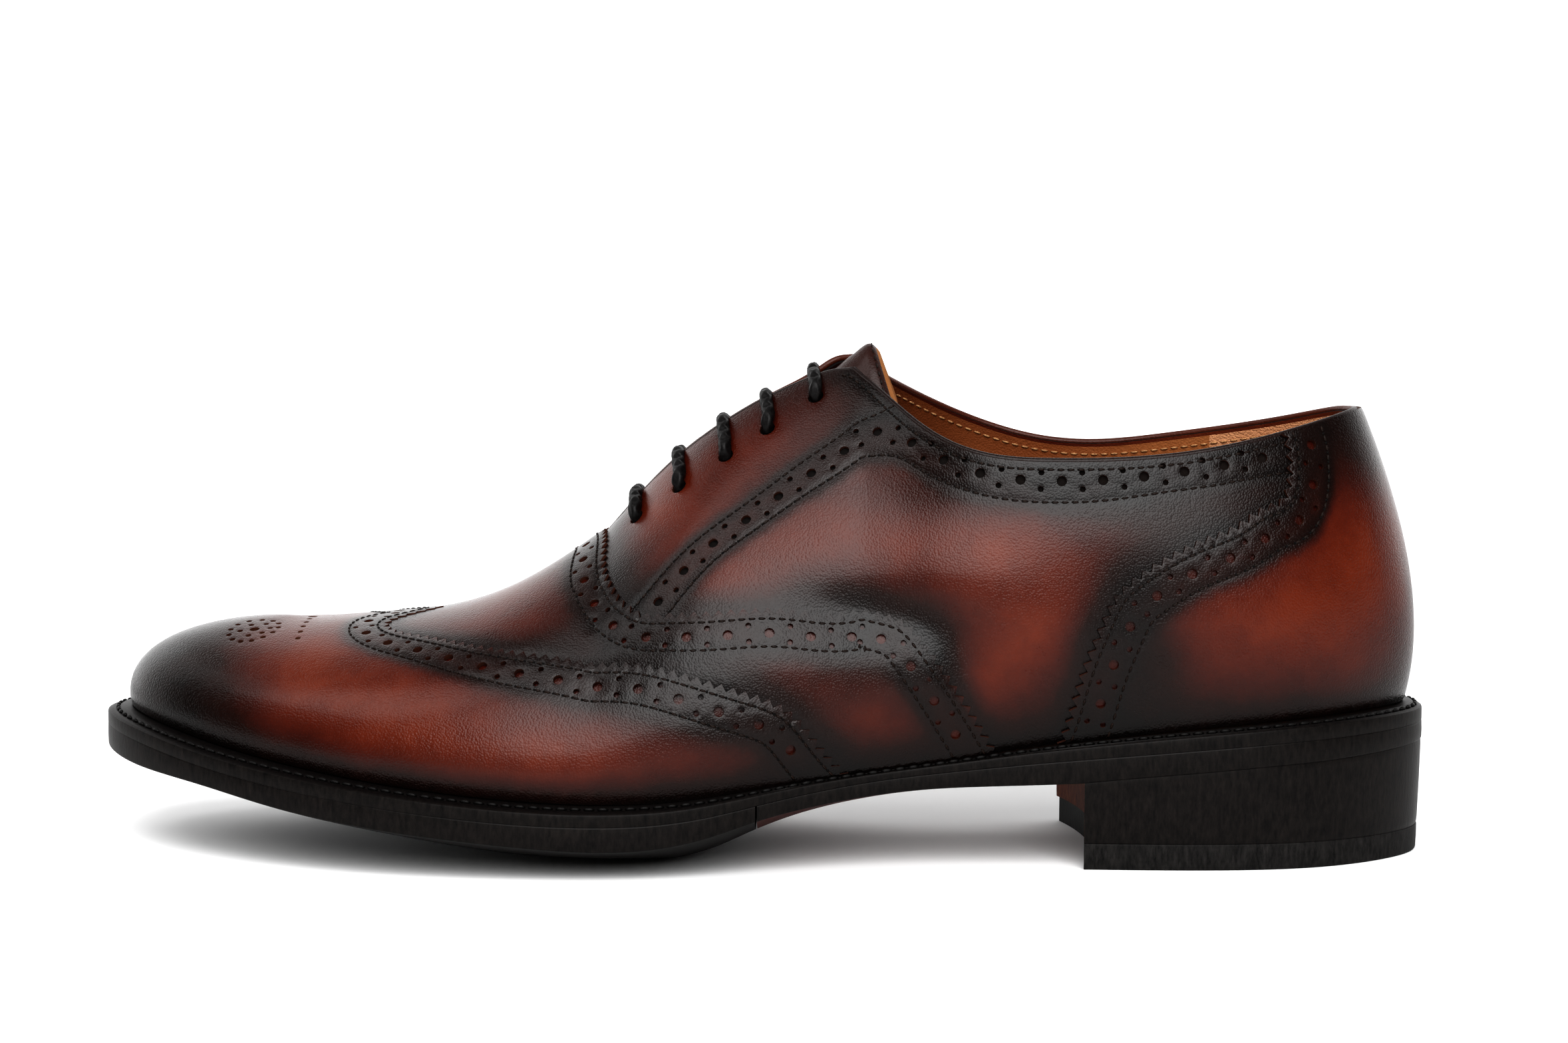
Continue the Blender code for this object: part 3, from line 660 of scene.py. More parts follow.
# %% Making a mesh
def make(name, points, faces, finishes, which=None, tone=None, sharp=38.0, weld=True):
    mesh = bpy.data.meshes.new(name)
    mesh.from_pydata((np.asarray(points) * MM).tolist(), [], [tuple(map(int, f)) for f in faces])
    for finish in finishes:
        mesh.materials.append(finish)
    if which is not None:
        mesh.polygons.foreach_set("material_index", np.asarray(which, np.int32))
    if tone is not None:
        layer = mesh.attributes.new("tone", "FLOAT", "POINT")
        layer.data.foreach_set("value", np.asarray(tone, np.float32))
    if weld:
        whole = bmesh.new()
        whole.from_mesh(mesh)
        bmesh.ops.remove_doubles(whole, verts=whole.verts, dist=0.004 * MM)
        whole.to_mesh(mesh)
        whole.free()
    mesh.validate()
    mesh.shade_smooth()
    mesh.set_sharp_from_angle(angle=math.radians(sharp))
    made = bpy.data.objects.new(name, mesh)
    bpy.context.scene.collection.objects.link(made)
    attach(made, "root")
    return made


def closed_sheet(top, bottom, faces):
    """Points and faces of a closed skin, and how many faces are top, bottom and wall."""
    count = len(top)
    edges = {(a, b) for face in faces for a, b in zip(face, face[1:] + face[:1])}
    walls = [(b, a, a + count, b + count) for a, b in sorted(edges) if (b, a) not in edges]
    under = [tuple(i + count for i in reversed(face)) for face in faces]
    return np.concatenate([top, bottom]), faces + under + walls, (len(faces), len(under), len(walls))


def grid_faces(rows, columns):
    """Four-sided faces of a grid of points."""
    corners = (i * columns + k for i in range(rows - 1) for k in range(columns - 1))
    return [(a, a + 1, a + 1 + columns, a + columns) for a in corners]


print("faces between three rows of four points:", len(grid_faces(3, 4)))

# %% [markdown]
# The leather is burnished: rubbed pale in the middle of a panel, and polished nearly black along its seams.
# A texture could be painted for it. Here each point of a panel holds one number, its paleness, from soft
# ovals that are listed, so it needs no image and follows each panel's own seams.
# Part of the dark is painted shade: beside the edges of panels that lie over others, and in a few spots
# where the leather dips.

# %% Burnish and painted shade
# Rubbed-up patches: x, height, half-length, half-height, tilt in degrees, strength
PATCHES = (
    (-101.0, 42.0, 25.0, 15.0, -22.0, 0.95), (-76.0, 35.0, 30.0, 14.0, -12.0, 0.9),
    (-46.0, 27.0, 30.0, 12.0, -6.0, 0.85), (-14.0, 26.0, 18.0, 9.0, 6.0, 0.5),
    (-57.0, 58.0, 26.0, 15.0, 25.0, 0.7), (-20.0, 79.0, 15.0, 15.0, 35.0, 0.85),
    (-2.0, 91.0, 16.0, 11.0, 35.0, 0.65), (12.0, 101.0, 12.0, 9.0, 30.0, 0.35),
    (-3.0, 66.0, 20.0, 10.0, 25.0, 0.7), (16.0, 76.0, 20.0, 12.0, 25.0, 0.75),
    (34.0, 80.0, 16.0, 13.0, 10.0, 0.7), (53.0, 71.0, 28.0, 15.0, 0.0, 0.9),
    (61.0, 53.0, 19.0, 15.0, 20.0, 0.9), (48.0, 46.0, 14.0, 12.0, 0.0, 0.7),
    (6.0, 43.0, 18.0, 8.0, -8.0, 0.4), (23.0, 34.0, 15.0, 9.0, -20.0, 0.6),
    (133.0, 70.0, 20.0, 24.0, -8.0, 0.98), (122.0, 55.0, 24.0, 16.0, 0.0, 0.9),
    (101.0, 54.0, 18.0, 13.0, 25.0, 0.8),
)
# Dark spots: polished down at the toe and the heel top; painted shade where the leather dips along the vamp
# and counter edges and under the collar row. x, height, half-length, half-height, tilt, strength
POLISHED_AND_SHADED_SPOTS = (
    (23.0, 57.0, 17.0, 5.5, -8.0, 0.8), (39.0, 50.0, 9.0, 5.5, -55.0, 0.7),
    (80.0, 58.0, 7.0, 16.0, -30.0, 0.8),
    (-140.0, 44.0, 19.0, 22.0, 0.0, 0.85), (84.0, 45.0, 8.0, 14.0, -12.0, 0.7),
    (66.0, 86.0, 40.0, 7.0, 4.0, 0.8), (140.0, 98.0, 14.0, 10.0, 0.0, 0.75),
)
# Dark along stitch rows, along punched bands and at the foot, and painted shade beside the edges of panels
# that lie over: reach in mm, depth
ROW_SHADE = (2.0, 0.7)
EDGE_SHADE = (4.2, 0.8)
BAND_SHADE = (4.4, 0.48)
FOOT_SHADE = (4.5, 0.8)
PLAIN_TONE = 0.1


def ovals(points, rows):
    """What is left of one after each tilted oval takes its share."""
    left = np.ones(len(points))
    for *place, strength in rows:
        left *= 1 - strength * oval(points, *place)
    return left


def rubbed_and_shaded(points, shades):
    """Paleness of the leather: patches, dark spots partly of painted shade, and darkening as (distance,
    reach, depth), partly painted shade.
    """
    pale = PLAIN_TONE + (1 - PLAIN_TONE) * (1 - ovals(points, PATCHES))
    for away, reach, depth in shades:
        pale = pale * (1 - depth * np.exp(-(away / reach) ** 2))
    return pale * ovals(points, POLISHED_AND_SHADED_SPOTS)


print("pale patches: %d, dark spots: %d" % (len(PATCHES), len(POLISHED_AND_SHADED_SPOTS)))

# %% [markdown]
# Calfskin is dyed, waxed and brushed. Its fine pores are drawn as a cell pattern half a millimetre
# across, the dye as a cloudy mottle of about a centimetre, and the wax as a thin clear coat over a
# half-glossy surface, which gives the broad soft highlights along the quarter. One function makes
# every leather of the upper, because they differ in dye, gloss and grain alone.

# %% Burnished calf
PORE = 0.48
PORE_DEEP = 0.2
CLOUD = 14.0


def calf(name, stops, rough=0.27, coat=0.2, dents=0.42):
    made, tree, shader, place = begin(name)
    tone = add(tree, "ShaderNodeAttribute", {"attribute_name": "tone"}).outputs["Fac"]
    cloud = add(
        tree, "ShaderNodeTexNoise", None,
        {"Vector": place, "Scale": 1 / (CLOUD * MM), "Detail": 5.0, "Roughness": 0.62},
    ).outputs["Fac"]
    spread = add(tree, "ShaderNodeMath", {"operation": "MULTIPLY_ADD"}, {0: cloud, 1: 0.5, 2: -0.25})
    mixed = add(tree, "ShaderNodeMath", {"operation": "ADD"}, {0: tone, 1: spread.outputs[0]})
    dye = add(tree, "ShaderNodeValToRGB", None, {"Fac": mixed.outputs[0]}, stops)
    tree.links.new(dye.outputs["Color"], shader.inputs["Base Color"])
    pores = add(
        tree, "ShaderNodeTexVoronoi", None, {"Vector": place, "Scale": 1 / (PORE * MM)},
    ).outputs["Distance"]
    wear = add(
        tree, "ShaderNodeMapRange", None, {"Value": cloud, "To Min": rough - 0.07, "To Max": rough + 0.1},
    )
    tree.links.new(wear.outputs["Result"], shader.inputs["Roughness"])
    bump = add(
        tree, "ShaderNodeBump", {"invert": True},
        {"Strength": dents, "Distance": PORE_DEEP * MM, "Height": pores},
    )
    tree.links.new(bump.outputs["Normal"], shader.inputs["Normal"])
    shader.inputs["Specular IOR Level"].default_value = 0.18
    shader.inputs["Coat Weight"].default_value = coat
    shader.inputs["Coat Roughness"].default_value = 0.2
    return made


# Full-grain calf, dyed, burnt dark at the edges and waxed: deep colour under a soft shine. Its dark end
# also shows the painted shade.
BURNT_AND_SHADED = ((0.0, "090504"), (0.3, "1c0a06"), (0.6, "37120a"), (0.85, "4d1b0c"), (1.0, "5c2410"))
panel_calf = calf("burnished_calf", BURNT_AND_SHADED)
# Edges left by the knife, dyed but not waxed: dull and fibrous
cut_edge = calf("dyed_cut_edge", ((0.0, "331a12"), (0.5, "44261a"), (1.0, "5c3826")), 0.75, 0.0, 0.3)
# Lining calf, tanned and left without wax: warm tan with a weak shine
lining_calf = calf("tan_lining_calf", ((0.0, "4a2414"), (0.5, "7d4a2a"), (1.0, "a87248")), 0.45, 0.08, 0.5)
# The flesh side of the lining, seen through the holes: matt and a little redder
backing = calf("tan_backing", ((0.0, "5a2a12"), (0.5, "7c3f1c"), (1.0, "96592c")), 0.7, 0.0, 0.2)
# Black, dull backing behind the topline: painted shade, so the holes above it and the needle holes look
# deep
hole_shade_black = calf("painted_hole_shade", ((0.0, "0c0908"), (1.0, "1a110d")), 0.8, 0.0, 0.1)
print("dyes of the panels:", len(BURNT_AND_SHADED))

# %% [markdown]
# A panel is cut from the pattern as a tailor would: its outline, its holes, then a fill of points
# between. A constrained triangulation joins them, so each hole is a real hole with a rim. Boolean
# cuts could punch them too, but hundreds of cuts are slow and leave ragged faces. Rims and outlines
# are lowered a little, and the leather is drawn down along each row of stitches.

# %% Pattern helpers for a panel
FILL = 2.1
FILL_APART = 0.62
POINT_APART = 0.3
RIM_LOW = 0.16
HOLE_LOW = 0.06
GROOVE_LOW = 0.1
GROOVE_HALF = 0.65
GROOVE_STEP = 1.3
LIP = 0.5
BARE_TONE = 0.62
BARE_INSIDE = 3.0


def flat_nearest(points, to):
    level = lambda p: np.concatenate([p, np.zeros((len(p), 1))], 1)
    return nearest(level(points), level(to))


def within(points, loop):
    """Which pattern points lie inside a closed loop."""
    ax, ay = loop.T
    bx, by = np.roll(loop, -1, 0).T
    y = points[:, 1:]
    crossed = (ay <= y) != (by <= y)
    slope = (bx - ax) / np.where(by == ay, 1e-9, by - ay)
    return (crossed & (points[:, :1] < ax + (y - ay) * slope)).sum(1) % 2 == 1


def trace(lines, lower_each):
    """Points, edges and lowering of closed loops."""
    points, edges, lower, start = [], [], [], 0
    for line, low in zip(lines, lower_each):
        count = len(line)
        points.append(line)
        lower.append(np.full(count, low))
        edges += [(start + i, start + (i + 1) % count) for i in range(count)]
        start += count
    return np.concatenate(points), edges, np.concatenate(lower)


print("fill: a point every %.1f mm" % FILL)

# %% [markdown]
# The points of a panel come in a fixed order: its outline, the rims of the holes, a ring round each
# hole, the grooves under the stitches, and an even fill. A point too near another is left out,
# because a thin triangle would show as a streak in the shine.

# %% Points and triangles of a panel
def panel_points(outline, holes, rows):
    """Pattern points of a panel: outline and hole rims, lips, stitch grooves, then an even fill."""
    loops = [outline]
    lips = []
    for radius in sorted({radius for _, radius in holes}):
        centres = [centre for centre, size in holes if size == radius]
        count = 8 if radius < 1.0 else 12
        loops += list(rings(centres, radius, count))
        lips += list(rings(centres, radius + LIP, count))
    points, edges, lower = trace(loops, [RIM_LOW] + [HOLE_LOW] * len(holes))
    free = list(lips)
    lows = [np.zeros(len(lip)) for lip in lips]
    for row in rows:
        line = every(row, GROOVE_STEP)
        _, left = frame_on(line)
        free += [line] + [step_on_leather(line, left * half) for half in (GROOVE_HALF, -GROOVE_HALF)]
        lows += [np.full(len(line), GROOVE_LOW), np.zeros(len(line)), np.zeros(len(line))]
    free = np.concatenate(free) if free else np.zeros((0, 2))
    lows = np.concatenate(lows) if lows else np.zeros(0)
    low_corner, high_corner = outline.min(0), outline.max(0)
    across = np.arange(low_corner[1], high_corner[1], FILL * 0.866)
    along = np.arange(low_corner[0], high_corner[0], FILL)
    fill = np.stack(np.meshgrid(along, across), -1)
    fill[1::2, :, 0] += FILL / 2
    fill = fill.reshape(-1, 2)
    extra = np.concatenate([free, fill])
    extra_low = np.concatenate([lows, np.zeros(len(fill))])
    keep = within(extra, outline)
    for loop in loops[1:]:
        near = np.abs(extra - loop.mean(0)).max(1) < 4.0
        keep[near] &= ~within(extra[near], loop)
    keep &= flat_nearest(extra, points) > POINT_APART
    keep[len(free):] &= flat_nearest(fill, np.concatenate([points, free])) > FILL_APART * FILL
    owner = np.concatenate([np.full(len(loop), i) for i, loop in enumerate(loops)])
    owner = np.concatenate([owner, np.zeros(keep.sum(), int)])
    return np.concatenate([points, extra[keep]]), edges, np.concatenate([lower, extra_low[keep]]), owner


def panel_faces(outline, points, edges, lower, owner):
    """Triangles between the points, without those that would fill a hole."""
    cut = delaunay_2d_cdt([Vector(p) for p in points], edges, [], 0, 1e-6)
    flat = np.array([tuple(p) for p in cut[0]])
    low = np.array([max((lower[i] for i in ids), default=0.0) for ids in cut[3]])
    hole_of = np.array([max((owner[i] for i in ids), default=0) for ids in cut[3]])
    faces = np.array(cut[2])
    inside = within(flat[faces].mean(1), outline)
    first, second, third = hole_of[faces].T
    inside &= ~((first > 0) & (first == second) & (second == third))
    used, numbered = np.unique(faces[inside], return_inverse=True)
    faces = [tuple(map(int, face)) for face in numbered.reshape(-1, 3)]
    return flat[used], low[used], faces


print("lip round each hole: %.1f mm" % LIP)

# %% [markdown]
# The flat panel is laid on the last twice, as its grain side and its flesh side, and closed along
# every edge. Its paleness is worked out here as well, because it depends on the panel's own seams.

# %% Cutting a panel
def cut_panel(name, outline, holes, rows, top, bottom, finishes, dents=None, dark=(), bands=(), hidden=()):
    """A closed leather panel: outline as a loop, holes as (centre, radius), rows as stitch lines."""
    flat, low, faces = panel_faces(outline, *panel_points(outline, holes, rows))
    pressed = 0.0 if dents is None else dents(flat)
    upper_skin = on_last(flat, top - low + pressed)
    lower_skin = on_last(flat, bottom + pressed)
    shades = [(upper_skin[:, 2] - BODY(lay_back(flat)[0])[:, 0], *FOOT_SHADE)]
    # Darker along stitch rows, punched bands and the foot; beside the edges of panels lying over this one
    # the dark is painted shade.
    for lines, shade in ((rows, ROW_SHADE), (dark, EDGE_SHADE), (bands, BAND_SHADE)):
        if len(lines):
            shades.append((flat_nearest(flat, np.concatenate(list(lines))), *shade))
    tone = rubbed_and_shaded(upper_skin, shades)
    for loop, edge in hidden:
        tone[within(flat, loop) & (flat_nearest(flat, edge) > BARE_INSIDE)] = BARE_TONE
    solid, all_faces, counts = closed_sheet(upper_skin, lower_skin, faces)
    which = [0] * counts[0] + [1] * (counts[1] + counts[2])
    made = make(name, solid, all_faces, finishes, which, np.concatenate([tone, tone]), weld=False)
    print("%s: %d points, %d holes" % (name, len(solid), len(holes)))
    return made


# %% [markdown]
# Broguing is a row of large holes with pairs of small ones between, punched in the band between two
# rows of stitches. An array along a curve could place them, but each hole has to be an edge of the
# panel itself. The holes follow the middle of the band, so one helper serves every panel.

# %% Rows of holes
def punched(line, room, first=0.0, keep_from=None):
    """Centres and radii along a pattern line: large, pair, large; keep clear of some points."""
    big = every(line, HOLE_PITCH, first or HOLE_PITCH * 0.5)
    between = every(line, HOLE_PITCH, (first or HOLE_PITCH * 0.5) + HOLE_PITCH / 2)
    _, left = frame_on(between)
    found = [(p, BIG_HOLE) for p in big]
    for sign in (-1, 1):
        found += [(p, SMALL_HOLE) for p in step_on_leather(between, left * sign * PAIR_APART / 2)]
    if keep_from is None:
        return found
    clear = flat_nearest(np.array([p for p, _ in found]), keep_from) > room
    return [hole for hole, good in zip(found, clear) if good]


def feather_line(first, last, side, pitch=1.5):
    """Pattern points along the foot of the wall, between two stations."""
    turns = np.linspace(turn_of(first), turn_of(last), 300)
    flat = lay_flat(turns, FOOT, float(side))
    return every(flat, pitch)


def station_at_foot(line):
    turn, _, _ = lay_back(line[-1:])
    return float(MIDDLE - HALF * np.cos(turn[0]))


FOOT = 0.0
threads = []
print("broguing: %.1f mm large, %.1f mm small" % (2 * BIG_HOLE, 2 * SMALL_HOLE))

# %% [markdown]
# The wing cap covers the toe: its pinked edge runs back in two wings and peaks on the ridge. A
# medallion of holes, drawn as a ring about one large hole each side, decorates the toe. A thick
# shell with a bevel could stand for the cap. Cut from the pattern, it keeps its saw teeth.

# %% Wing cap
WING_TOP = 1.25
LAID_ON = 0.05
MEDALLION_X = -118.0
MEDALLION_SIDE = 11.4
RING_HOLES = 13
RING_X = 6.3
RING_SIDE = 6.768
INNER_DOTS = ((-118.8, 15.0), (-115.4, 14.2), (-113.9, 11.4), (-115.7, 8.2), (-119.4, 8.2), (-121.6, 11.6))
TOE_ROW_X = -105.5
TOE_ROW_PITCH = 3.85
TOE_ROW_REACH = 23.0


def medallion():
    found = []
    for side in (-1, 1):
        middle = np.array([MEDALLION_X, side * MEDALLION_SIDE])
        found.append((middle, BIG_HOLE))
        for k in range(RING_HOLES):
            turn = 2 * math.pi * k / RING_HOLES
            place = middle + (RING_X * math.cos(turn), RING_SIDE * math.sin(turn))
            found.append((place, SMALL_HOLE))
        found += [(np.array([x, side * v]), SMALL_HOLE) for x, v in INNER_DOTS]
        steps = np.arange(1, int(TOE_ROW_REACH / TOE_ROW_PITCH) + 1)
        found += [(np.array([TOE_ROW_X, side * k * TOE_ROW_PITCH]), SMALL_HOLE) for k in steps]
    found.append((np.array([TOE_ROW_X, 0.0]), BIG_HOLE))
    return found


def clear_of_each_other(holes, gap=0.7):
    """Drop a hole that would run into one already taken, so that leather stays between."""
    taken = []
    for centre, radius in holes:
        if all(np.hypot(*(centre - c)) > radius + r + gap for c, r in taken):
            taken.append((centre, radius))
    return taken


wing_foot = station_at_foot(seam(WING_EDGE, -1))
inner_foot = feather_line(wing_foot, TOE_X, 1)
outer_foot = feather_line(TOE_X, wing_foot, -1)
wing_outline = np.concatenate([pinked(wing_line, TOOTH, TOOTH_DEEP), inner_foot[1:], outer_foot[1:-1]])
wing_rows = [trimmed(beside(wing_line, away), high=2.0) for away in (FIRST_ROW, SECOND_ROW)]
foot_points = np.concatenate([inner_foot, outer_foot])
wing_band = beside(wing_line, HOLE_ROW)
wing_holes = punched(wing_band, 5.0, keep_from=foot_points)
wing_holes = clear_of_each_other(wing_holes + medallion())
wing_cap = cut_panel(
    "wing_cap", wing_outline, wing_holes, wing_rows, WING_TOP, LAID_ON, [panel_calf, cut_edge],
    bands=[wing_band],
)
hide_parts("toe_wing")
threads += [(row, WING_TOP) for row in wing_rows]

# %% [markdown]
# The vamp lies between the wings and the throat. Its front runs on a few millimetres under the
# wing cap, as a lasted shoe's does, so no gap can open along the seam. One skin with a drawn line
# would be simpler, but the real step at the seam catches the light.

# %% Vamp
VAMP_UNDER_CAP = (
    (-97.0, 1.0), (-103.2, 0.903), (-100.0, 0.778), (-93.5, 0.644), (-82.2, 0.542), (-67.0, 0.446),
    (-47.3, 0.359), (-28.7, 0.283), (-13.5, 0.207), (-0.9, 0.123), (5.5, 0.046), (9.2, 0.0),
)
VAMP_SECOND_ROW = 8.3
VAMP_TOP = 0.85
SKIVED_FROM = 0.3
SKIVED_OVER = 2.0


def under_cap(flat):
    """How far the vamp is skived down where the wing cap covers it."""
    deep = np.clip((flat_nearest(flat, wing_line) - SKIVED_FROM) / SKIVED_OVER, 0, 1)
    return np.where(within(flat, wing_outline), -VAMP_TOP * deep, 0.0)


hidden_front = {side: seam(VAMP_UNDER_CAP, side, 1.5) for side in (-1, 1)}
vamp_foot = {side: feather_line(VAMP_EDGE[-1][0], VAMP_UNDER_CAP[-1][0], side) for side in (-1, 1)}
vamp_edge = {side: pinked(vamp_line[side], TOOTH, TOOTH_DEEP) for side in (-1, 1)}
vamp_outline = np.concatenate([
    vamp_edge[-1][::-1], vamp_edge[1][1:], vamp_foot[1][1:], hidden_front[1][::-1][1:],
    hidden_front[-1][1:], vamp_foot[-1][::-1][1:-1],
])
vamp_rows = []
vamp_holes = []
vamp_bands = []
for side in (-1, 1):
    for away in (FIRST_ROW, VAMP_SECOND_ROW):
        vamp_rows.append(trimmed(beside(vamp_line[side], side * away), high=2.0))
    band = beside(vamp_line[side], side * HOLE_ROW)
    vamp_bands.append(band)
    vamp_holes += punched(band, 4.0, keep_from=vamp_foot[side])
vamp_holes = [hole for hole in clear_of_each_other(vamp_holes) if abs(hole[0][1]) > 3.0]
vamp = cut_panel(
    "vamp_panel", vamp_outline, vamp_holes, vamp_rows, VAMP_TOP, LAID_ON, [panel_calf, cut_edge],
    under_cap, [wing_line], vamp_bands, [(wing_outline, wing_line)],
)
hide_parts("vamp")
threads += [(row, VAMP_TOP) for row in vamp_rows]

# %% [markdown]
# The counter wraps the heel in one piece, with the same pinked edge and broguing. Two mirrored
# halves could be joined at the back, but one outline round the heel leaves no seam to hide.

# %% Heel counter
COUNTER_SECOND_ROW = 9.3
COUNTER_HOLE_ROW = 5.5
COUNTER_TOP = 1.05
CORNER_ROUND = 0.022
CORNER_WIDE = 4.0


def top_share(turn):
    """The top edge, rounded off at the corner of the facing."""
    away = MIDDLE - HALF * np.cos(turn) - SECTIONS[CORNER_ROW][0]
    return 1 - CORNER_ROUND * np.exp(-(away / CORNER_WIDE) ** 2)


def top_line(first, last, side, pitch=1.2):
    """Pattern points along the top edge between two turns."""
    turns = np.linspace(first, last, 500)
    return every(lay_flat(turns, top_share(turns), float(side)), pitch)


counter_edge = {side: pinked(counter_line[side], TOOTH, TOOTH_DEEP) for side in (-1, 1)}
counter_foot = {side: feather_line(COUNTER_EDGE[-1][0], HEEL_X, side) for side in (-1, 1)}
counter_top = {side: top_line(turn_of(COUNTER_EDGE[0][0]), math.pi, side) for side in (-1, 1)}
counter_outline = np.concatenate([
    counter_edge[-1], counter_foot[-1][1:], counter_foot[1][::-1][1:], counter_edge[1][::-1][1:],
    counter_top[1][1:], counter_top[-1][::-1][1:-1],
])
counter_rows = []
counter_holes = []
counter_bands = []
for side in (-1, 1):
    line = counter_line[side]
    counter_rows += [trimmed(beside(line, -side * away)) for away in (FIRST_ROW, COUNTER_SECOND_ROW)]
    band = beside(line, -side * COUNTER_HOLE_ROW)
    edges = np.concatenate([counter_foot[side], counter_top[side]])
    counter_bands.append(band)
    counter_holes += punched(band, 3.6, keep_from=edges)
counter = cut_panel(
    "counter", counter_outline, clear_of_each_other(counter_holes), counter_rows, COUNTER_TOP, LAID_ON,
    [panel_calf, cut_edge], bands=counter_bands,
)
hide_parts("heel_counter")
threads += [(row, COUNTER_TOP) for row in counter_rows]

# %% [markdown]
# Two quarters form the sides. Each carries its facing with five lace holes, and a punched band that
# follows the facing and then the collar. They could stop at the seams. They run on under the vamp
# and the counter instead, as on a real shoe, so each seam is a step of leather over leather.

# %% Quarters
QUARTER_UNDER_VAMP = (
    (-37.0, 1.0), (-44.5, 0.843), (-42.6, 0.654), (-36.5, 0.514), (-27.0, 0.429), (-12.2, 0.373),
    (8.5, 0.322), (21.4, 0.298), (29.7, 0.263), (34.5, 0.197), (42.9, 0.013), (43.6, 0.0),
)
QUARTER_UNDER = -0.9
COLLAR_ROW = 2.0
COLLAR_ROW_END_X = 122.0
for side, name in ((-1, "quarter_outer"), (1, "quarter_inner")):
    hidden = seam(QUARTER_UNDER_VAMP, side, 1.5)
    foot = feather_line(QUARTER_UNDER_VAMP[-1][0], HEEL_X, side)
    back = every(lay_flat(np.full(60, math.pi), np.linspace(0, 1, 60), float(side)), 1.5)
    outline = np.concatenate([
        hidden, foot[1:], back[1:], top_line(math.pi, THROAT, side)[1:-1],
    ])
    outline = outline if side < 0 else outline[::-1]
    rows = [seam(FACING_STITCH, side), seam(COLLAR_STITCH, side)]
    collar = top_line(CORNER - 0.012, turn_of(COLLAR_ROW_END_X), side, 0.6)
    rows.append(beside(collar, side * COLLAR_ROW))
    eyelets = np.array(EYELETS)
    lace_holes = lay_flat(turn_of(eyelets[:, 0]), eyelets[:, 1], float(side))
    holes = [(p, EYELET_HOLE) for p in lace_holes]
    holes += punched(seam(BAND_HOLES, side), 0.0, 0.8)
    made = cut_panel(
        name, outline, clear_of_each_other(holes), rows, 0.0, QUARTER_UNDER, [panel_calf, cut_edge],
        None, [vamp_line[side], counter_line[side]], [seam(BAND_HOLES, side)],
        [(vamp_outline, vamp_line[side]), (counter_outline, counter_line[side])],
    )
    threads += [(row, 0.0) for row in rows]

# %% [markdown]
# Under the panels lies the lining: one shell, tan inside, that shows through the collar and at the bottom
# of the punched holes. Beside the topline its outside is black instead, painted shade that makes the holes
# there look deep. The panels could carry it on their insides, but one plain shell is closed and serves all
# of them.

# %% Lining
LINING_OUT = -0.95
LINING_IN = -2.2
HOLE_SHADE_SHARE = 0.5
SHELL_SHARES = np.concatenate([np.linspace(0, 0.9, 27), np.linspace(0.9, 1, 9)[1:]])
FOLD_SHARE = 0.984
GRIP_FROM_X = 109.0


def shell_turns():
    parts = [np.linspace(0, THROAT, 70), np.linspace(THROAT, CORNER, 40), np.linspace(CORNER, math.pi, 80)]
    return np.unique(np.concatenate(parts))


turns = shell_turns()
outer_skin, inner_skin, shell_faces, outside_kind, inside_kind = [], [], [], [], []
for side in (-1, 1):
    turn, share = np.meshgrid(turns, SHELL_SHARES, indexing="ij")
    start = sum(len(part) for part in outer_skin)
    lower = share * top_share(turn)
    outer_skin.append(leather(turn, lower, np.full(turn.shape, float(side)), LINING_OUT).reshape(-1, 3))
    inner_skin.append(leather(turn, lower, np.full(turn.shape, float(side)), LINING_IN).reshape(-1, 3))
    for face in grid_faces(len(turns), len(SHELL_SHARES)):
        at_share = share.reshape(-1)[face[0]]
        at_turn = turn.reshape(-1)[face[0]]
        open_part = at_turn > THROAT
        # Kind 2 is the black painted shade behind the holes near the topline
        outside_kind.append(2 if open_part and at_share > HOLE_SHADE_SHARE else 1)
        grip = 4 if at_turn > turn_of(GRIP_FROM_X) else 0
        inside_kind.append(3 if open_part and at_share > FOLD_SHARE else grip)
        shell_faces.append(tuple(start + i for i in (face if side > 0 else face[::-1])))
outer_skin = np.concatenate(outer_skin)
inner_skin = np.concatenate(inner_skin)

# The two sides share their points on the ridge, the toe and the heel
seen = {}
first_of = np.arange(len(outer_skin))
for i, p in enumerate(np.round(outer_skin, 3)):
    first_of[i] = seen.setdefault(tuple(p + 0.0), i)
shell_faces = [tuple(int(first_of[i]) for i in face) for face in shell_faces]
whole_faces = [len(set(face)) > 2 for face in shell_faces]
outside_kind = [kind for kind, good in zip(outside_kind, whole_faces) if good]
inside_kind = [kind for kind, good in zip(inside_kind, whole_faces) if good]
shell_faces = [tuple(dict.fromkeys(face)) for face, good in zip(shell_faces, whole_faces) if good]
solid, all_faces, counts = closed_sheet(outer_skin, inner_skin, shell_faces)
which = outside_kind + inside_kind + [2] * counts[2]
# Painted shade: the lining darkens towards the front, deeper inside the shoe
shade = np.interp(solid[:, 0], (20.0, 60.0, 110.0), (0.12, 0.45, 0.8))
# The turned-in edge of the collar, dyed by hand: red brown, half matt
fold_calf = calf("red_brown_fold", ((0.0, "2c0f09"), (0.5, "4a1d10"), (1.0, "6a3420")), 0.45)
# Suede that holds the heel, its nap raised by sanding: pale and quite matt
heel_grip = calf("tan_suede_grip", ((0.0, "8c5636"), (0.5, "b27a54"), (1.0, "cb9c78")), 0.9, 0.0, 0.9)
lining = make(
    "lining", solid, all_faces, [lining_calf, backing, hole_shade_black, fold_calf, heel_grip], which, shade,
)
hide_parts("upper")
print("lining faces:", len(all_faces))

# %% [markdown]
# A rolled bead binds the top edge: leather folded round the edge, so a half-round cord with a soft
# shine. It is a tube swept along the facing and the topline, from throat to throat round the heel.
# A curve with a bevel would do as well, but own points let each half of it have its own tone.

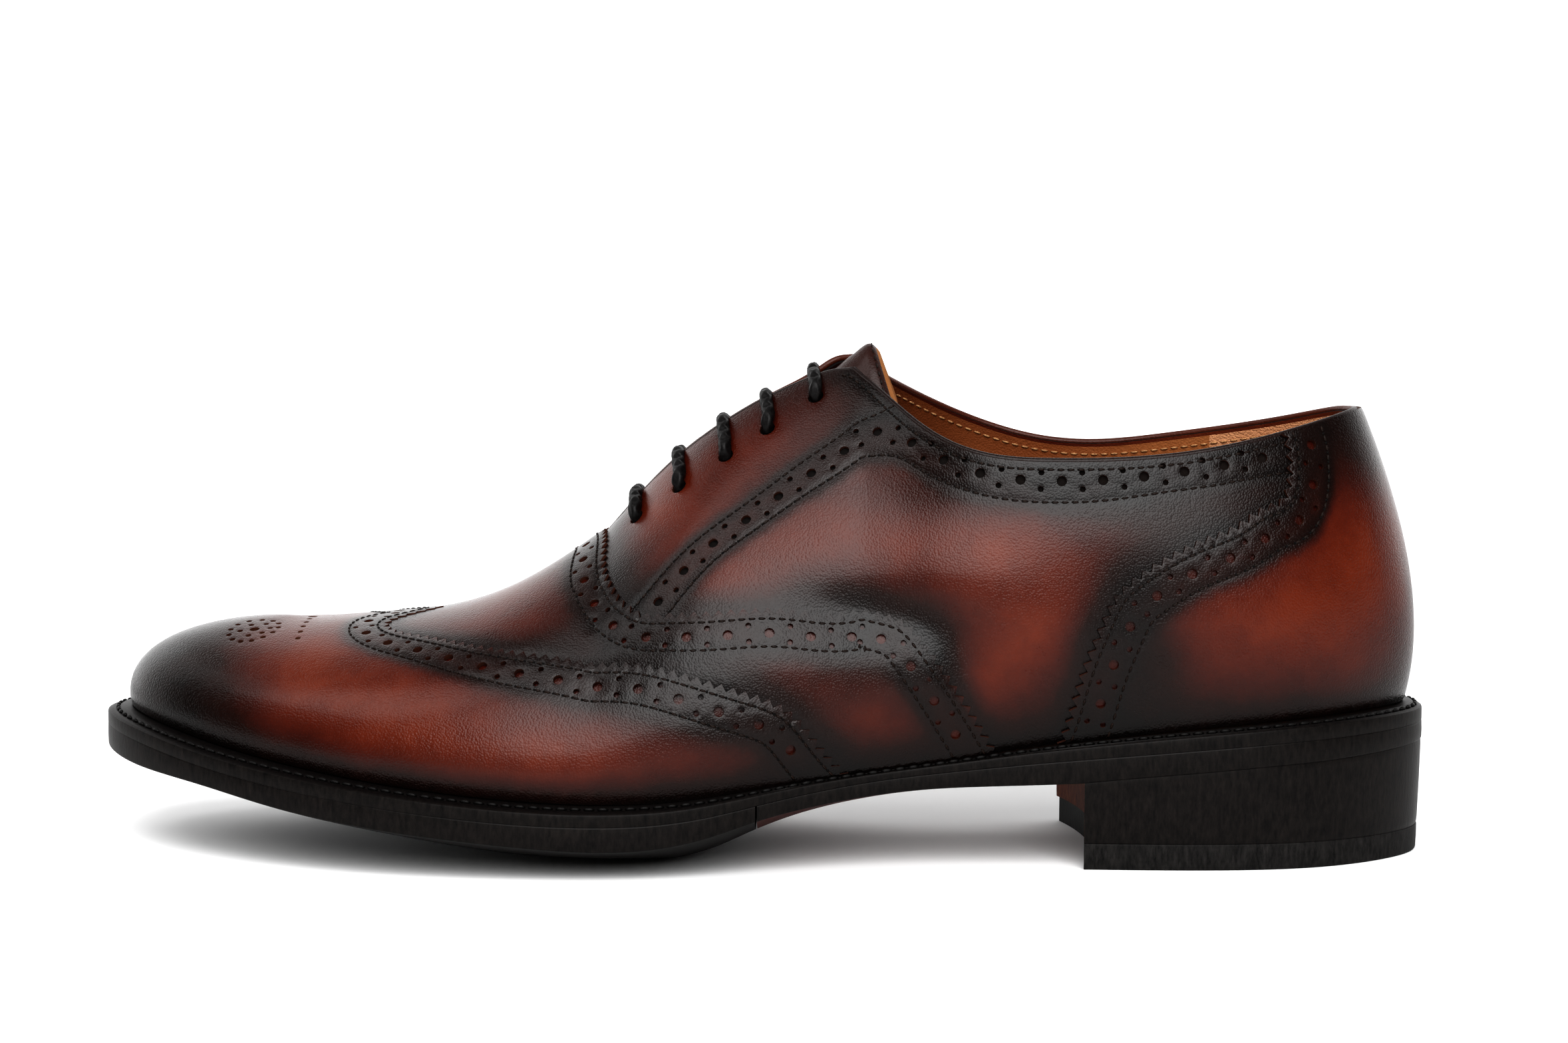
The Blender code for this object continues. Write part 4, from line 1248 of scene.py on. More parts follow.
# %% Sweeping a tube
def tube(path, radius, sides=10):
    """Points and faces of a round tube along a path of points; radius may vary along it."""
    path = np.asarray(path)
    along = np.gradient(path, axis=0)
    along /= np.linalg.norm(along, axis=1, keepdims=True)
    up = np.cross(along[0], [0.0, 0.3, 1.0])
    up /= np.linalg.norm(up)
    frames = []
    for direction in along:
        up = up - direction * (up @ direction)
        up /= np.linalg.norm(up)
        frames.append((up, np.cross(direction, up)))
    ups = np.array([f[0] for f in frames])
    sideways = np.array([f[1] for f in frames])
    angle = 2 * math.pi * np.arange(sides) / sides
    size = np.broadcast_to(np.asarray(radius, float), (len(path), sides))
    points = path[:, None] + size[..., None] * (
        np.cos(angle)[None, :, None] * ups[:, None] + np.sin(angle)[None, :, None] * sideways[:, None]
    )
    faces = []
    for i in range(len(path) - 1):
        for k in range(sides):
            m = (k + 1) % sides
            faces.append((i * sides + k, i * sides + m, (i + 1) * sides + m, (i + 1) * sides + k))
    faces.append(tuple(range(sides - 1, -1, -1)))
    faces.append(tuple((len(path) - 1) * sides + k for k in range(sides)))
    return points.reshape(-1, 3), faces


BEAD = 0.8
BEAD_SUNK = -0.85
bead_turns = np.concatenate([np.linspace(THROAT, CORNER, 90), np.linspace(CORNER, math.pi, 110)[1:]])
bead_path = np.concatenate([
    leather(bead_turns, top_share(bead_turns), -1.0, BEAD_SUNK),
    leather(bead_turns[::-1][1:], top_share(bead_turns[::-1][1:]), 1.0, BEAD_SUNK),
])
# A folded strip, dyed and waxed: dark outside, browner on the inner side
bead_calf = calf("dark_bead_calf", ((0.0, "0d0706"), (0.5, "26100a"), (1.0, "4a2010")), 0.45)
bead_points, bead_faces = tube(bead_path, BEAD)
bead_tone = np.where(np.arange(len(bead_points)) < len(bead_points) // 2, 0.2, 0.9)
bead = make("topline_bead", bead_points, bead_faces, [bead_calf], tone=bead_tone)
print("bead: %.0f mm" % lengths_along(bead_path)[-1])

# %% [markdown]
# The tongue bridges the throat under the facings and rises a little above them. It sinks where the
# lace runs between it and the facing. Its rim is raw leather, paler than its dyed face. A cloth
# could be draped for it. Sections between the facings, with a curl at the tip, are steadier.

# %% Tongue
TONGUE_FROM_X = -62.0
TONGUE_TOP = -2.8
TONGUE_THICK = 2.0
TONGUE_SHARES = (0.74, 0.79, 0.9, 1.0)
TONGUE_SINK = 2.6
TIP_LONG = 6.0
TIP_HIGH = 2.7
TIP_CURL = 2.4
TIP_LEAN = 0.2
TIP_NARROW = 0.86
SKIVED = 1.6
RAW_ROWS = 2
SWELL = 1.9
SWELL_FROM_X = 13.5
ACROSS = np.linspace(-1, 1, 41)
HOLLOW = TONGUE_SINK * np.exp(-((np.abs(ACROSS) - 0.62) / 0.2) ** 2)


def tongue_section(turn):
    """Points across the tongue at one section."""
    shares = np.array(TONGUE_SHARES)
    outer = leather(np.full(4, turn), shares, np.full(4, -1.0), TONGUE_TOP)
    inner = leather(np.full(4, turn), shares[::-1], np.full(4, 1.0), TONGUE_TOP)
    crown = (outer[-1] + inner[0]) / 2 + (0.0, 0.0, 0.4)
    row = np.concatenate([outer[:-1], crown[None], inner[1:]])
    run = lengths_along(row)
    smooth = cubic(run, row)(run[-1] * (ACROSS + 1) / 2)
    return smooth - np.clip((turn - THROAT) / 0.05, 0, 1) * HOLLOW[:, None] * np.array([0.0, 0.0, 1.0])


tongue_turns = np.linspace(turn_of(TONGUE_FROM_X), CORNER, 46)
tongue_rows = [tongue_section(turn) for turn in tongue_turns]
for row in tongue_rows:
    ahead = np.clip((row[:, 0] - SWELL_FROM_X) / (SECTIONS[CORNER_ROW][4] - SWELL_FROM_X), 0, 1)
    row[:, 2] += SWELL * ahead ** 3 * np.exp(-(ACROSS / 0.4) ** 2)
last = tongue_rows[-1]
middle = last[len(ACROSS) // 2]
for step in np.linspace(0, 1, 13)[1:]:
    narrow = 1 - (1 - TIP_NARROW) * step ** 3
    lift = TIP_HIGH * math.sin(min(step / 0.8, 1) * math.pi / 2)
    rise = lift - TIP_CURL * max(0, (step - 0.45) / 0.55) ** 2
    lean = TIP_LEAN * step * (middle[2] - last[:, 2]) - 1.8 * step ** 2 * ACROSS ** 6
    row = last + np.array([TIP_LONG * step, 0.0, rise])
    row[:, 0] += lean
    row[:, 2] += HOLLOW * math.sin(step * math.pi / 2) ** 2
    row[:, 1] = middle[1] + narrow * (last[:, 1] - middle[1])
    tongue_rows.append(row)
tongue_top = np.array(tongue_rows)
around = np.gradient(tongue_top, axis=0)
across = np.gradient(tongue_top, axis=1)
normal = np.cross(around, across)
normal /= np.linalg.norm(normal, axis=2, keepdims=True)
tongue_under = tongue_top - TONGUE_THICK * normal
beyond = tongue_under[-1] - tongue_under[-3]
beyond /= np.linalg.norm(beyond, axis=1, keepdims=True)
tongue_under[-1] += SKIVED * beyond
tongue_under[-2] += 0.5 * SKIVED * beyond
faces = [face[::-1] for face in grid_faces(len(tongue_rows), len(ACROSS))]
solid, all_faces, counts = closed_sheet(tongue_top.reshape(-1, 3), tongue_under.reshape(-1, 3), faces)
# Thin dyed calf, waxed less than the panels: dark brown with a weak shine
tongue_calf = calf("tongue_calf", ((0.0, "120806"), (0.5, "2c110a"), (1.0, "461d0e")), 0.42)
# The cut rim of the tongue, left raw: pale, open fibres
raw_edge = calf("raw_leather_edge", ((0.0, "6d4526"), (0.5, "8d6038"), (1.0, "a87a4c")), 0.75, 0.0, 0.4)
raw_rows = counts[0] - RAW_ROWS * (len(ACROSS) - 1)
which = [0] * raw_rows + [2] * (counts[0] - raw_rows) + [1] * counts[1] + [2] * counts[2]
tongue = make(
    "tongue_leather", solid, all_faces, [tongue_calf, lining_calf, raw_edge], which,
    np.full(len(solid), 0.4), weld=False,
)
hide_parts("tongue")
tongue_row = np.concatenate([tongue_top[30:-4, 4], tongue_top[-5, 5:-5], tongue_top[30:-4, -5][::-1]])
print("tongue tip at", np.round(tongue_top[-1, len(ACROSS) // 2], 1))

# %% [markdown]
# The lace is a round waxed cord, braided from fine strands. Five bars cross the throat. Between
# them the cord runs hidden under the facings, and both ends stop below the top lace holes. A
# simulated rope could be pulled tight. A smooth curve through chosen points gives the same.

# %% Lace route
LACE_RADIUS = 1.45
LACE_CLEAR = LACE_RADIUS + 0.1
PRESSED = 1.0
BRAID = 0.24
BRAID_PITCH = 3.4
BARS = (-28.3, -18.5, -8.2, 1.9, 13.0)
UNDER_FACING = -4.1
CROWN_SINK = 0.9
LACE_STEP = 0.45


def bar_turn(x_top):
    turns = np.linspace(THROAT, CORNER, 401)
    return float(turns[np.argmin(np.abs(top_edge(turns)[:, 0] - x_top))])


def over_bar(number, side):
    """The bar's path from the middle of the throat to below the lace hole on one side."""
    turn = bar_turn(BARS[number])
    hole_turn = float(turn_of(EYELETS[number][0]))
    hole = EYELETS[number][1]
    lifts = ((1.0, LACE_CLEAR - PRESSED), ((hole + 1) / 2, LACE_CLEAR - 0.2), (hole + 0.025, LACE_CLEAR))
    over = [leather(turn, t, float(side), lift) for t, lift in lifts]
    down = [leather((turn + hole_turn) / 2, hole + 0.006, float(side), 1.2)]
    down += [leather(hole_turn, hole, float(side), lift) for lift in (-0.6, -2.4)]
    return over + down


def under_run(first, last, side):
    """The hidden path from one lace hole to another on the same side."""
    found = []
    for share in (0.12, 0.3, 0.5, 0.7, 0.88):
        station = EYELETS[first][0] * (1 - share) + EYELETS[last][0] * share
        t = EYELETS[first][1] * (1 - share) + EYELETS[last][1] * share
        found.append(leather(float(turn_of(station)), t + 0.01, float(side), UNDER_FACING))
    return found


def whole_bar(number, start):
    one = over_bar(number, start)
    other = over_bar(number, -start)
    crown = (one[0] + other[0]) / 2 + (0.0, 0.0, -CROWN_SINK)
    return one[::-1] + [crown] + other


print("points on one bar of the lace:", len(whole_bar(0, 1)))

# %% [markdown]
# The cord is a tube whose radius swells and shrinks round it and along it, so the strands of the
# braid stand out. A picture of a braid could be laid on it, but its outline would stay smooth.

# %% Lace cord
# One end goes 1, 2, 4 and stops at the outer top hole; the other goes 1, 3, 5
outer_end = whole_bar(0, 1)
outer_end += under_run(0, 1, -1) + whole_bar(1, -1) + under_run(1, 3, 1) + whole_bar(3, 1)
outer_end += under_run(3, 4, -1)
inner_end = under_run(0, 2, 1) + whole_bar(2, 1) + under_run(2, 4, -1) + whole_bar(4, -1)
knots = np.array(inner_end[::-1] + outer_end)
run = lengths_along(knots)
lace_path = cubic(run, knots)(np.arange(0, run[-1], LACE_STEP))
run = lengths_along(lace_path)
LACE_SIDES = 18
angle = 2 * math.pi * np.arange(LACE_SIDES) / LACE_SIDES
winding = 2 * math.pi * run / BRAID_PITCH
twist = winding[:, None] / 3
strands = np.maximum(np.cos(3 * (angle[None] - twist)), np.cos(3 * (angle[None] + twist)))
lace_points, lace_faces = tube(lace_path, LACE_RADIUS + 0.1 - BRAID + BRAID * strands, LACE_SIDES)


FIBRE = 0.4
FIBRE_DEEP = 0.1


def cloth(name, dark, light, rough):
    made, tree, shader, place = begin(name)
    fibre = add(
        tree, "ShaderNodeTexNoise", None, {"Vector": place, "Scale": 1 / (FIBRE * MM), "Detail": 3.0},
    ).outputs["Fac"]
    dye = add(tree, "ShaderNodeValToRGB", None, {"Fac": fibre}, ((0.3, dark), (0.7, light)))
    tree.links.new(dye.outputs["Color"], shader.inputs["Base Color"])
    bump = add(
        tree, "ShaderNodeBump", None, {"Strength": 0.3, "Distance": FIBRE_DEEP * MM, "Height": fibre},
    )
    tree.links.new(bump.outputs["Normal"], shader.inputs["Normal"])
    shader.inputs["Roughness"].default_value = rough
    shader.inputs["Specular IOR Level"].default_value = 0.2
    return made


# Waxed cotton cord: black, with a greasy shine on each strand
waxed_cord = cloth("waxed_lace", "060505", "131010", 0.45)
lace = make("lace", lace_points, lace_faces, [waxed_cord], sharp=60.0, weld=False)
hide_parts(*("lace_bar_%d" % k for k in range(1, 6)))
print("lace: %.0f mm" % run[-1])

# %% [markdown]
# The sole follows the foot of the upper, stands out a few millimetres round the forefoot and draws
# in at the waist. It could be traced as one outline. Rows of overhang, welt and bottom height with
# a smooth curve through them let welt, sole and heel share one edge. Edge leather is stained,
# waxed and ironed, and sanding leaves fine upright marks, so its noise is drawn out upwards.

# %% Sole rows
# x, overhang outer and inner, welt thickness and fall, bottom height at the edge and the middle
SOLES = np.array((
    (-148.0, 5.3, 5.3, 2.9, 0.9, 22.6, 21.6), (-137.0, 5.4, 5.4, 2.9, 0.9, 19.8, 17.8),
    (-120.0, 5.6, 5.5, 2.9, 1.0, 17.2, 13.8), (-104.0, 5.8, 5.5, 2.9, 1.0, 14.0, 10.0),
    (-88.0, 6.0, 5.5, 2.9, 1.0, 11.4, 6.6), (-70.0, 6.0, 5.3, 2.9, 1.0, 9.2, 3.2),
    (-52.0, 6.0, 5.0, 2.9, 1.0, 7.5, 0.7), (-38.0, 6.0, 4.6, 2.9, 1.0, 6.5, 0.0),
    (-20.0, 5.6, 4.0, 2.8, 1.0, 7.2, 0.0), (-10.0, 4.8, 3.2, 2.6, 0.9, 9.3, 2.6),
    (-1.0, 3.8, 2.4, 2.3, 0.7, 12.0, 6.5), (14.0, 2.4, 1.4, 1.9, 0.4, 15.2, 11.6),
    (32.0, 1.8, 1.0, 1.7, 0.3, 17.6, 15.0), (52.0, 2.4, 1.6, 2.2, 0.5, 18.6, 17.2),
    (72.0, 3.2, 2.6, 2.8, 0.8, 19.4, 19.4), (100.0, 3.6, 3.2, 3.2, 0.9, 22.0, 22.0),
    (126.0, 3.8, 3.5, 3.3, 0.9, 24.0, 24.0), (149.3, 3.8, 3.8, 3.3, 0.9, 25.6, 25.6),
))
SOLE_CURVE = cubic(turn_of(SOLES[:, 0]), SOLES[:, 1:], True)
GAP = 0.3
FLAT_SHARE = 0.4
GRAIN = 0.9
GRAIN_DRAWN = 0.3
GRAIN_DEEP = 0.12


def sole_line(turn, side, extra):
    """Plan points of the sole's edge, moved out by extra."""
    row = SOLE_CURVE(turn)
    over = np.where(side < 0, row[..., 0], row[..., 1]) + extra
    return feather(turn, side) + over[..., None] * outward(turn, side)


def foot_height(turn):
    return BODY(turn)[..., 0]


def sole_top(turn):
    row = SOLE_CURVE(turn)
    return foot_height(turn) - 2 * GAP - row[..., 3] - row[..., 2]


def sole_bottom(turn, v):
    row = SOLE_CURVE(turn)
    belly = np.maximum(0.0, row[..., 5])
    bend = np.maximum(0.0, np.abs(v) - FLAT_SHARE) / (1 - FLAT_SHARE)
    return belly + np.maximum(0.0, row[..., 4] - belly) * bend ** 1.5


def dressed(name, dark, light, rough, scratch, coat=0.03):
    """Edge leather: stained, waxed, ironed; fine upright scratches stay from the sanding."""
    made, tree, shader, place = begin(name)
    long = add(
        tree, "ShaderNodeMapping", None, {"Vector": place, "Scale": (1.0, 1.0, GRAIN_DRAWN)},
    ).outputs[0]
    fine = add(
        tree, "ShaderNodeTexNoise", None,
        {"Vector": long, "Scale": 1 / (GRAIN * MM), "Detail": 5.0, "Roughness": 0.68},
    ).outputs["Fac"]
    stain = add(tree, "ShaderNodeValToRGB", None, {"Fac": fine}, ((0.3, dark), (0.75, light)))
    tree.links.new(stain.outputs["Color"], shader.inputs["Base Color"])
    spread = add(
        tree, "ShaderNodeMapRange", None, {"Value": fine, "To Min": rough - 0.08, "To Max": rough + 0.12},
    )
    tree.links.new(spread.outputs["Result"], shader.inputs["Roughness"])
    bump = add(
        tree, "ShaderNodeBump", None, {"Strength": scratch, "Distance": GRAIN_DEEP * MM, "Height": fine},
    )
    tree.links.new(bump.outputs["Normal"], shader.inputs["Normal"])
    shader.inputs["Specular IOR Level"].default_value = 0.12
    shader.inputs["Coat Weight"].default_value = coat
    shader.inputs["Coat Roughness"].default_value = 0.3
    return made


# Sole edges, stained, waxed and ironed: black, with fine upright sanding marks
edge_black = dressed("black_edge_leather", "090808", "211d1b", 0.42, 0.5)
# The top of the welt, stained and rubbed smooth: black, with hardly any marks
welt_black = dressed("black_welt_leather", "0b0909", "181413", 0.42, 0.2)
# Moulded rubber, sanded at its edge: a dull dark grey
rubber = dressed("black_rubber", "0b0b0b", "2e2c2b", 0.6, 0.8, 0.0)
# The waist underneath, stained dark red and waxed: an even low shine
waist_red = dressed("dark_red_sole_leather", "240c09", "4a1a12", 0.45, 0.15)
# The front of the heel, cut across its lifts and only brushed: warm brown and matt
breast_leather = dressed("heel_breast_leather", "3a1a12", "7c4630", 0.7, 0.5)
print("sole rows:", len(SOLES))

# %% [markdown]
# The welt is a strip sewn all round between upper and sole. Its top is dull and holds a groove for
# the stitches, next to the upper. Its rim is waxed and polished with a hot iron. A bevelled curve
# could give it, but the strip narrows at the waist, so it is a ring of sections instead.

# %% Welt
RIM_ROUND = 0.5
RIM_LOW_ROUND = 0.2
TUCKED_IN = -3.0
LEVEL_TO = 0.8
FALL_FROM = 1.5
loop_turns = np.concatenate([np.linspace(0, math.pi, 301), np.linspace(math.pi, 0, 301)[1:-1]])
loop_sides = np.where(np.arange(len(loop_turns)) < 301, -1.0, 1.0)
row = SOLE_CURVE(loop_turns)
welt_z = foot_height(loop_turns) - GAP
rim_top = welt_z - row[:, 3]
rim_low = rim_top - row[:, 2]
over = np.where(loop_sides < 0, row[:, 0], row[:, 1])
fall_per_mm = row[:, 3] / np.maximum(over - FALL_FROM, 0.5)


def at_offset(offset, height):
    plan = feather(loop_turns, loop_sides) + np.asarray(offset)[..., None] * outward(loop_turns, loop_sides)
    return np.concatenate([plan, np.broadcast_to(height, plan.shape[:1])[:, None]], 1)


def welt_height(offset, sink):
    return welt_z - np.maximum(0, offset - FALL_FROM) * fall_per_mm - sink


groove_at = np.minimum(3.0, over * 0.55 + 0.2)
groove_half = np.minimum(0.9, over * 0.2)
welt_lines = [
    at_offset(np.full(len(over), TUCKED_IN), welt_z),
    at_offset(np.full(len(over), LEVEL_TO), welt_z),
    at_offset(groove_at - groove_half, welt_height(groove_at - groove_half, 0.0)),
    at_offset(groove_at, welt_height(groove_at, 0.35)),
    at_offset(groove_at + groove_half, welt_height(groove_at + groove_half, 0.0)),
    at_offset(over - RIM_ROUND, rim_top + 0.05),
    at_offset(over - 0.12, rim_top - 0.15),
    at_offset(over, rim_top - RIM_ROUND),
    at_offset(over, rim_low + RIM_LOW_ROUND),
    at_offset(over - 0.05, rim_low + 0.05),
    at_offset(over - RIM_LOW_ROUND, rim_low),
    at_offset(np.full(len(over), TUCKED_IN), rim_low),
]
welt_points = np.stack(welt_lines, 1)
sections, columns = welt_points.shape[:2]
welt_faces = []
for i in range(sections):
    j = (i + 1) % sections
    for k in range(columns):
        m = (k + 1) % columns
        welt_faces.append((i * columns + k, i * columns + m, j * columns + m, j * columns + k))
which = [1 if 5 <= face[0] % columns <= 9 else 0 for face in welt_faces]
welt = make("welt_strip", welt_points.reshape(-1, 3), welt_faces, [welt_black, edge_black], which)
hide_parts("welt")
welt_thread = at_offset(groove_at, welt_height(groove_at, 0.05))
welt_thread = np.concatenate([welt_thread, welt_thread[:1]])
print("welt: %.0f mm round" % lengths_along(welt_thread)[-1])

# %% [markdown]
# Sole, waist, heel and insole are plates: a top, a bottom and a rounded edge between two outlines.
# One function makes them all. A bevel could round the edge, but the edge also leans in towards the
# floor, so its steps are written out. The heel's front is drawn in, in a shallow curve.

# %% Lofting a plate
EDGE_STEPS = ((0.0, 0.16), (0.03, 0.05), (0.07, 0.0), (0.5, -0.05), (0.92, 0.0), (0.97, 0.08), (1.0, 0.25))
PLATE_ACROSS = np.sin(np.linspace(-math.pi / 2, math.pi / 2, 25))
BREAST_BOW = 4.5
BREAST_REACH = 0.24
CLOSED_END = 0.1


def end_strips(count, wide, rim):
    """Faces that close one end of a plate, as strips from its top to its bottom."""
    low = [wide + rim + (wide - 1 - k) for k in range(wide)]
    strips = [(k, k + 1, low[k + 1], low[k]) for k in range(wide - 1)]
    strips.append(tuple(range(wide - 1, wide + rim + 1)))
    strips.append((0, low[0]) + tuple(range(low[0] + 1, count)))
    return strips


def plate(name, turns, line, top, bottom, finishes, pick, extra=(0.0, 0.0), bow=0.0):
    """A plate lofted along the shoe; extra is how far its top and bottom edges stand out."""
    sections = []
    for turn in turns:
        t = np.array(turn)
        share = np.clip((turn - turns[0]) / BREAST_REACH, 0, 1)
        pull = bow * (1 - share) ** 1.5
        ends = {}
        for level, inset in EDGE_STEPS:
            out = extra[0] * (1 - level) + extra[1] * level - inset
            ends[level] = [line(t, np.array(float(side)), out) for side in (-1, 1)]

        def across(level, v, height):
            left, right = ends[level]
            plan = left + (right - left) * (v + 1) / 2
            return np.array([plan[0] + pull * (1 - v * v), plan[1], height])

        loop = [across(0.0, v, top(t, v)) for v in PLATE_ACROSS[::-1]]
        for side in (-1, 1):
            levels = [level for level, _ in EDGE_STEPS][1:-1]
            high = top(t, float(side))
            low = bottom(t, float(side))
            rims = [across(level, float(side), high + (low - high) * level) for level in levels]
            if side < 0:
                loop += rims
                loop += [across(1.0, v, bottom(t, v)) for v in PLATE_ACROSS]
            else:
                loop += rims[::-1]
        sections.append(np.array(loop))
    count = len(sections[0])
    wide = len(PLATE_ACROSS)
    rim = len(EDGE_STEPS) - 2
    faces = []
    which = []
    for i in range(len(sections) - 1):
        for k in range(count):
            m = (k + 1) % count
            faces.append((i * count + k, i * count + m, (i + 1) * count + m, (i + 1) * count + k))
            if k < wide - 1:
                part = "top"
            elif wide + rim <= k < 2 * wide + rim - 1:
                part = "bottom"
            else:
                part = "edge"
            which.append(pick[part])
    strips = end_strips(count, wide, rim)
    last = (len(sections) - 1) * count
    if np.ptp(sections[0][:, 1]) > CLOSED_END:
        faces += [strip[::-1] for strip in strips]
        which += [pick.get("front", pick["edge"])] * len(strips)
    if np.ptp(sections[-1][:, 1]) > CLOSED_END:
        faces += [tuple(last + i for i in strip) for strip in strips]
        which += [pick["edge"]] * len(strips)
    return make(name, np.concatenate(sections), faces, finishes, which, sharp=50.0)


print("steps down a plate's edge:", len(EDGE_STEPS))

# %% [markdown]
# There are five plates: the rubber half sole, the leather waist, the stacked heel, its rubber top
# piece and the insole. Four follow the edge of the sole. The insole lies inside the upper's foot.
# Each could be a mesh of its own, but they differ only in line, height, ends and finish.

# %% Sole, heel and insole
HALF_SOLE_END = float(turn_of(-1.0))
WAIST_START = float(turn_of(-0.6))
BREAST_X = 72.3
BREAST = float(turn_of(BREAST_X))
HEEL_TAPER = 0.8
TOP_PIECE = 5.8
INSOLE_IN = 3.5
INSOLE_TOP = 0.8
flat_top = lambda turn, v: float(sole_top(turn)) + GAP
flat_bottom = lambda turn, v: float(sole_bottom(turn, v))
half_sole = plate(
    "half_sole_rubber", np.linspace(0, HALF_SOLE_END, 110), sole_line, flat_top, flat_bottom,
    [edge_black, rubber], {"top": 0, "edge": 0, "bottom": 1},
)
waist_sole = plate(
    "waist_leather", np.linspace(WAIST_START, math.pi, 120), sole_line, flat_top, flat_bottom,
    [edge_black, waist_red], {"top": 0, "edge": 0, "bottom": 1},
)
heel_front = np.linspace(BREAST, BREAST + BREAST_REACH, 16)
heel_turns = np.concatenate([heel_front, np.linspace(BREAST + BREAST_REACH, math.pi, 60)[1:]])
heel_stack = plate(
    "heel_lifts", heel_turns, sole_line, lambda turn, v: flat_bottom(turn, v) - 0.02,
    lambda turn, v: TOP_PIECE + 0.02, [edge_black, breast_leather],
    {"top": 0, "edge": 0, "bottom": 0, "front": 1}, (-0.1, -HEEL_TAPER), BREAST_BOW,
)
top_piece = plate(
    "heel_rubber", heel_turns, sole_line, lambda turn, v: TOP_PIECE, lambda turn, v: 0.0,
    [rubber], {"top": 0, "edge": 0, "bottom": 0}, (-HEEL_TAPER, -HEEL_TAPER - 0.2), BREAST_BOW,
)
# The sock, undyed and unwaxed: light tan and matt
insole_finish = calf("insole_calf", ((0.0, "8a5228"), (0.5, "a86c38"), (1.0, "c08a52")), 0.6, 0.0, 0.3)
insole = plate(
    "sock_and_insole", np.linspace(0.03, math.pi - 0.03, 120),
    lambda turn, side, extra: feather(turn, side) + (extra - INSOLE_IN) * outward(turn, side),
    lambda turn, v: float(foot_height(turn)) + INSOLE_TOP, lambda turn, v: float(sole_top(turn)) + GAP,
    [insole_finish], {"top": 0, "edge": 0, "bottom": 0},
)

# %% [markdown]
# The inner front corner of a top piece is cut off, so that it can't catch a trouser hem. The plate
# could be drawn with that corner missing, but one cut with a plane, filled again, is simpler.

# %% Clipping the heel's corner
CLIPPED = 1.24
clip_corner = sole_line(np.array(BREAST), np.array(1.0), -HEEL_TAPER) + (CLIPPED, -CLIPPED)
whole = bmesh.new()
whole.from_mesh(top_piece.data)
cut = bmesh.ops.bisect_plane(
    whole, geom=whole.verts[:] + whole.edges[:] + whole.faces[:],
    plane_co=(clip_corner[0] * MM, clip_corner[1] * MM, 0.0), plane_no=(-1.0, 1.0, 0.0), clear_outer=True,
)
rim = [part for part in cut["geom_cut"] if isinstance(part, bmesh.types.BMEdge)]
bmesh.ops.edgeloop_fill(whole, edges=rim)
whole.to_mesh(top_piece.data)
whole.free()
for piece, node, slot in (
    (half_sole, "half_sole", "sole"), (waist_sole, "waist_sole", "sole"),
    (heel_stack, "heel_stack", "sole"), (top_piece, "heel_top_piece", "top_piece"),
    (insole, "insole", "insole"),
):
    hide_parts(node)
print("heel: %.0f mm long" % (HEEL_X - BREAST_X))

# %% [markdown]
# Stitches are the same little shape hundreds of times along a line, so a node tree lays them: the
# line becomes a curve, points are set one stitch apart, and a short round thread lies on each. An
# array modifier could do one row, but the tree takes every row of a kind at once.

# %% Stitch tree
def stitch_tree():
    tree = bpy.data.node_groups.new("stitches", "GeometryNodeTree")
    tree.interface.new_socket("Geometry", in_out="INPUT", socket_type="NodeSocketGeometry")
    for name in ("Pitch", "Length", "Width"):
        tree.interface.new_socket(name, in_out="INPUT", socket_type="NodeSocketFloat")
    tree.interface.new_socket("Thread", in_out="INPUT", socket_type="NodeSocketMaterial")
    tree.interface.new_socket("Geometry", in_out="OUTPUT", socket_type="NodeSocketGeometry")
    given = add(tree, "NodeGroupInput").outputs
    curve = add(tree, "GeometryNodeMeshToCurve", None, {"Mesh": given["Geometry"]})
    spaced = add(
        tree, "GeometryNodeResampleCurve", {"mode": "LENGTH"},
        {"Curve": curve.outputs["Curve"], "Length": given["Pitch"]},
    )
    ball = add(tree, "GeometryNodeMeshUVSphere", None, {"Segments": 6, "Rings": 4, "Radius": 0.5})
    size = add(
        tree, "ShaderNodeCombineXYZ", None,
        {"X": given["Length"], "Y": given["Width"], "Z": given["Width"]},
    )
    thread = add(
        tree, "GeometryNodeTransform", None,
        {"Geometry": ball.outputs["Mesh"], "Scale": size.outputs["Vector"]},
    )
    tangent = add(tree, "GeometryNodeInputTangent").outputs["Tangent"]
    turned = add(tree, "FunctionNodeAlignRotationToVector", {"axis": "X"}, {"Vector": tangent})
    laid = add(
        tree, "GeometryNodeInstanceOnPoints", None,
        {
            "Points": spaced.outputs["Curve"], "Instance": thread.outputs["Geometry"],
            "Rotation": turned.outputs["Rotation"],
        },
    )
    real = add(tree, "GeometryNodeRealizeInstances", None, {"Geometry": laid.outputs["Instances"]})
    coloured = add(
        tree, "GeometryNodeSetMaterial", None,
        {"Geometry": real.outputs["Geometry"], "Material": given["Thread"]},
    )
    add(tree, "NodeGroupOutput", None, {"Geometry": coloured.outputs["Geometry"]})
    return tree


STITCHES = stitch_tree()
print("nodes in the stitch tree:", len(STITCHES.nodes))

